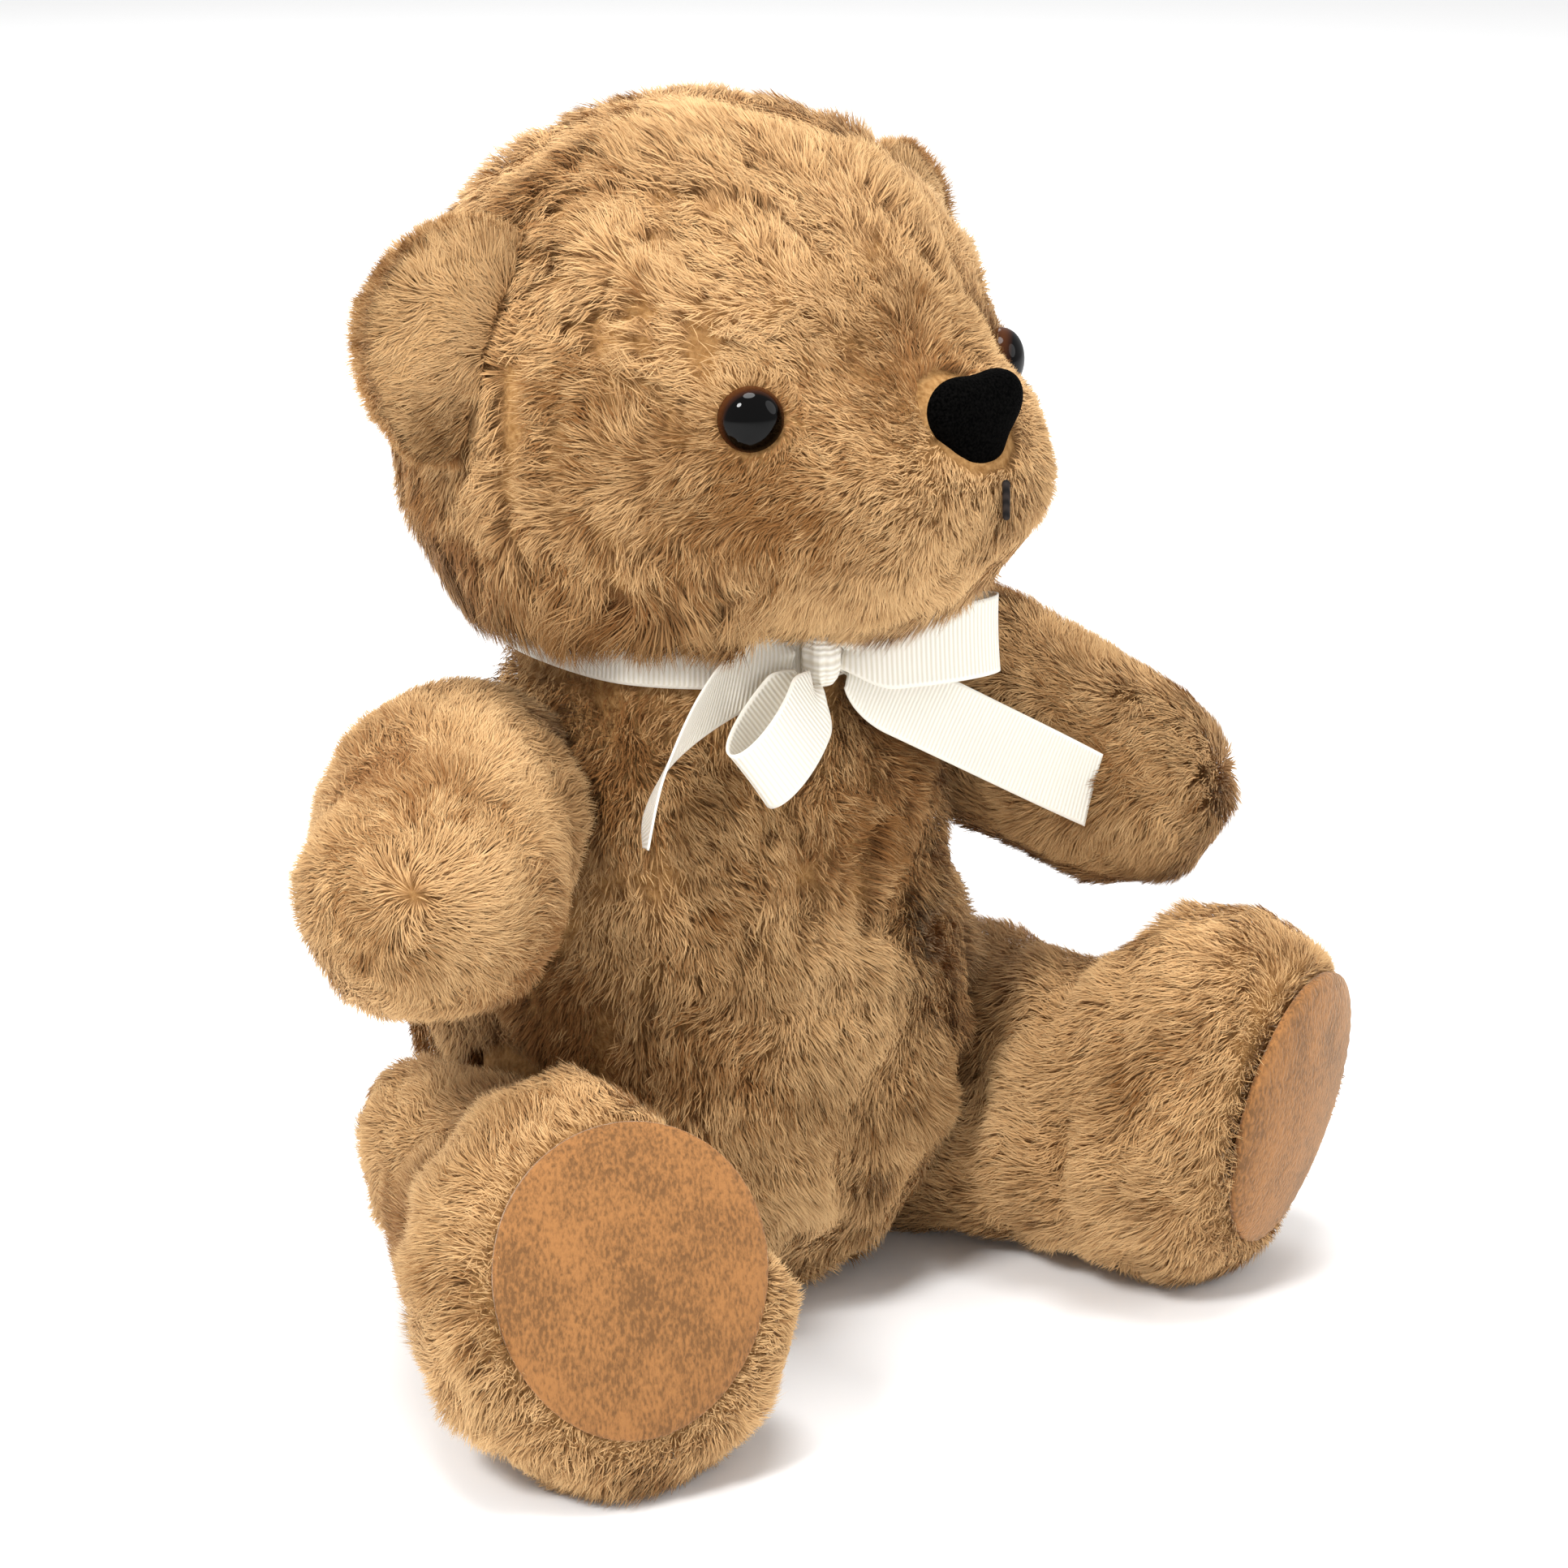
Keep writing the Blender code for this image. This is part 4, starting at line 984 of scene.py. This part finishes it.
def bow_loop(name, node, knot_at, out, wide, start, length, opened):
    """Out from the knot, round a turn and back behind itself: the distance out is one less a
    cosine, and the depth a sine that swells with it."""
    out = unit(out)
    wide = unit(wide - out * (wide @ out))
    deep = unit(np.cross(wide, out))
    deep = deep if deep[1] < 0 else -deep
    t = np.linspace(0, 1, 90)
    far = (1 - np.cos(math.tau * t)) / 2
    depth = opened * (np.sin(math.tau * t) * far ** 0.3 + 0.95 * far ** 0.5)
    depth = depth + 0.9 * np.cos(math.pi * t)
    line = knot_at + out * (start + (length - start) * far)[:, None] + deep * depth[:, None]
    ribbon_run(name, node, line, wide * gather(far)[:, None], 1.1)


def bow_tail(name, node, route, ways):
    """A free end along a smooth curve, its width turning from way to way."""
    t = np.linspace(0, 1, 70)
    line = spline(route, t)
    ribbon_run(name, node, line, unit(spline(ways, t)) * gather(t)[:, None], 1.0)


def build_ribbon():
    form = torso_form()
    middle, band_width, closed = NECK_Z - 6.6, 12, 0.999
    knot_turn = math.atan2(-2.5, 41)
    t = np.linspace(0, 1, 240)
    angle = math.pi / 2 + knot_turn + math.tau * (0.5 + (t - 0.5) * closed)
    rays = -np.stack([np.cos(angle), np.sin(angle), 0 * t], 1)
    # the band rests on the widest of three levels of the neck, and waves up and down 0.5 mm
    levels = [np.array((0, 0, middle + band_width * k)) for k in (-0.5, -0.2, 0.2)]
    radius = np.max([reach(form, level, rays) for level in levels], 0)
    line = rays * (radius + 0.85)[:, None] + UP * middle
    line[:, 2] += 0.5 * np.sin(angle * 2 + 1)
    ribbon_run("ribbon_round_neck", "ribbon_band", line, np.tile(UP * band_width, (len(t), 1)))
    at = (line[0] + line[-1]) / 2 - np.array((0, 3.2, 0))
    bow_loop("bow_loop_left", "ribbon_loop_left", at + (0, -0.5, 0.5), (1, -0.02, -0.03),
             (0, 0.1, 1), 4.2, 40, 6.0)
    bow_loop("bow_loop_right", "ribbon_loop_right", at + (0, -1, -1), (-0.80, -0.12, -0.60),
             (0.62, 0, -0.78), 5.4, 31, 4.6)
    fall, across = np.array((0.86, -0.02, -0.50)), (0.50, 0, 0.86)
    bow_tail("bow_tail_left", "ribbon_tail_left",
             [at + fall * 83 * k + (0, -1.5, -0.6) for k in (0.085, 0.35, 0.7, 1)],
             [across, across, across, (0.3, 0, 0.95)])
    bend = np.array(((-0.09, 0.04, 0.01), (-0.33, 0.05, -0.04), (-0.57, 0.02, -0.17),
                     (-0.72, 0, -0.37), (-0.76, 0, -0.56)))
    bow_tail("bow_tail_right", "ribbon_tail_right", at + bend * 57,
             [(0.1, 0.1, 1), (0.3, 0.1, 0.95), (0.2, -0.3, 0.9), (-0.2, -0.7, 0.7),
              (-0.5, -0.8, 0.3)])
    build_knot(at)


def build_knot(at):
    """The turn that binds the bow: a ball squared by the power 0.75, pleated by a sine round
    its upright sides."""
    rows, around = 40, 96
    rays = ball_rays(rows, around)
    shape = np.sign(rays) * np.abs(rays) ** 0.75
    angle = np.arctan2(rays[:, 1], rays[:, 0])
    waist = 1 + 0.10 * rays[:, 2] ** 2
    pleat = 1 + 0.05 * np.sin(angle * 7 + 2 * rays[:, 2]) + 0.03 * np.sin(angle * 11 + 1)
    local = shape * (3.4, 3.8, 6.2) * (waist * pleat)[:, None] ** np.array((1, 1, 0))
    uv = np.stack([(angle / math.tau + 0.5) * 0.7 + 0.15, rays[:, 2] * 0.6], 1)
    knot = new_piece("bow_knot", at + local, ball_faces(rows, around), "torso", grosgrain(), uv)
    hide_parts("ribbon_knot")


# ---- inside parts and stage

def finish_inside():
    """CAD nodes that stay: the stuffing, and the moulded joint parts."""
    for name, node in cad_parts.items():
        if node.hide_render:
            continue
        if "stuffing" in name:
            made = mottled("polyester_fibre_fill", "#DCD8CE", "#F4F2EC", 3.0, 0.95)
        elif name == "mouth_stitch":
            made = thread()
        elif "shank" in name:
            made = mottled("black_nylon_shank", "#0C0B0B", "#1A1918", 1.5, 0.4)
        else:
            made = mottled("moulded_natural_nylon", "#DAD8CF", "#EBE9E2", 2.5, 0.45)
        node.data.materials.clear()
        node.data.materials.append(made)


def studio_light(name, at, size, watts):
    light = bpy.data.lights.new(name, "AREA")
    light.shape, light.size, light.energy = "DISK", size, watts
    lamp = bpy.data.objects.new(name, light)
    bpy.context.scene.collection.objects.link(lamp)
    aim = np.array((0, 0, 0.11)) - np.array(at)
    lamp.matrix_world = matrix(axes_along(-aim), at)


def matrix(axes, at):
    rows = np.eye(4)
    rows[:3, :3], rows[:3, 3] = axes, at
    return Matrix(rows.tolist())


def build_stage():
    studio = bpy.context.scene.bear_studio
    scene = bpy.context.scene
    edge = 7000.0
    corners = edge * np.array([(-1, -1, 0), (1, -1, 0), (1, 1, 0), (-1, 1, 0)])
    floor = bpy.data.meshes.new("floor")
    floor.from_pydata((corners * MM).tolist(), [], [(0, 1, 2, 3)])
    ground = bpy.data.objects.new("floor", floor)
    scene.collection.objects.link(ground)
    paper, tree, shader = finish("white_paper_sweep", Roughness=0.9, Specular_IOR_Level=0.1)
    if tree:
        shader.inputs["Base Color"].default_value = linear("#FCFCFC")
    floor.materials.append(paper)
    world = bpy.data.worlds.new("studio")
    world.use_nodes = True
    back = world.node_tree.nodes["Background"]
    back.inputs["Color"].default_value = (1, 1, 1, 1)
    back.inputs["Strength"].default_value = 0.68
    scene.world = world
    scene.view_settings.view_transform = "Standard"
    studio_light("key_softbox", (-1.20, -0.40, 1.35), 0.4, 21)
    studio_light("top_softbox", (-0.1, -0.15, 1.7), 0.8, 20)
    studio_light("fill_softbox", (1.05, -1.15, 0.9), 1.1, 7)
    studio_light("back_softbox", (0.6, 1.3, 1.2), 1.0, 12)
    c, s = math.cos(studio.elevation), math.sin(studio.elevation)
    way = np.array((-math.sin(studio.azimuth) * c, -math.cos(studio.azimuth) * c, s))
    target = np.array((0.035, 0.0168, 0.098))
    camera = bpy.data.cameras.new("camera")
    camera.lens, camera.sensor_width = studio.lens, 36
    camera.clip_start, camera.clip_end = 0.05, 50
    view = bpy.data.objects.new("camera", camera)
    scene.collection.objects.link(view)
    view.matrix_world = matrix(axes_along(way), target + way * studio.distance)
    scene.camera = view


# ---- operators and panel

class BEAR_OT_head(bpy.types.Operator):
    """Head and ears in long pile."""
    bl_idname = "bear.head"
    bl_label = "Head and Ears"

    def execute(self, context):
        build_head()
        return {"FINISHED"}


class BEAR_OT_torso(bpy.types.Operator):
    """Torso in long pile."""
    bl_idname = "bear.torso"
    bl_label = "Torso"

    def execute(self, context):
        build_torso()
        return {"FINISHED"}


class BEAR_OT_arms(bpy.types.Operator):
    """Both arms in long pile."""
    bl_idname = "bear.arms"
    bl_label = "Arms"

    def execute(self, context):
        build_arms()
        return {"FINISHED"}


class BEAR_OT_legs(bpy.types.Operator):
    """Both legs in long pile, with velour soles."""
    bl_idname = "bear.legs"
    bl_label = "Legs and Soles"

    def execute(self, context):
        build_legs()
        return {"FINISHED"}


class BEAR_OT_face(bpy.types.Operator):
    """Two safety eyes and a flocked nose."""
    bl_idname = "bear.face"
    bl_label = "Eyes and Nose"

    def execute(self, context):
        build_face()
        return {"FINISHED"}


class BEAR_OT_ribbon(bpy.types.Operator):
    """Grosgrain ribbon round the neck, tied in a bow."""
    bl_idname = "bear.ribbon"
    bl_label = "Ribbon Bow"

    def execute(self, context):
        build_ribbon()
        return {"FINISHED"}


class BEAR_OT_inside(bpy.types.Operator):
    """Finishes for the stuffing and the disc joints."""
    bl_idname = "bear.inside"
    bl_label = "Inside Parts"

    def execute(self, context):
        finish_inside()
        return {"FINISHED"}


class BEAR_OT_stage(bpy.types.Operator):
    """Floor, soft light and camera."""
    bl_idname = "bear.stage"
    bl_label = "Stage"

    def execute(self, context):
        build_stage()
        return {"FINISHED"}


STEPS = (BEAR_OT_head, BEAR_OT_torso, BEAR_OT_arms, BEAR_OT_legs, BEAR_OT_face,
         BEAR_OT_ribbon, BEAR_OT_inside, BEAR_OT_stage)
GROUPS = {"bear_plush": PlushSizes, "bear_colours": PlushColours, "bear_bow": BowSizes,
          "bear_studio": StudioSizes}


class BEAR_PT_panel(bpy.types.Panel):
    """Lists the bear's steps and sizes."""
    bl_idname = "BEAR_PT_panel"
    bl_label = "Teddy Bear"
    bl_space_type = "VIEW_3D"
    bl_region_type = "UI"
    bl_category = "Teddy Bear"

    def draw(self, context):
        for step in STEPS:
            self.layout.operator(step.bl_idname)
        for group in GROUPS:
            for prop in GROUPS[group].__annotations__:
                self.layout.prop(getattr(context.scene, group), prop)


def register():
    for item in (*GROUPS.values(), *STEPS, BEAR_PT_panel):
        bpy.utils.register_class(item)
    for name, group in GROUPS.items():
        setattr(bpy.types.Scene, name, PointerProperty(type=group))


def unregister():
    for name in GROUPS:
        delattr(bpy.types.Scene, name)
    for item in (BEAR_PT_panel, *reversed(STEPS), *GROUPS.values()):
        bpy.utils.unregister_class(item)


def main():
    register()
    for step in STEPS:
        getattr(bpy.ops.bear, step.bl_idname.split(".")[1])()


if __name__ == "__main__":
    main()
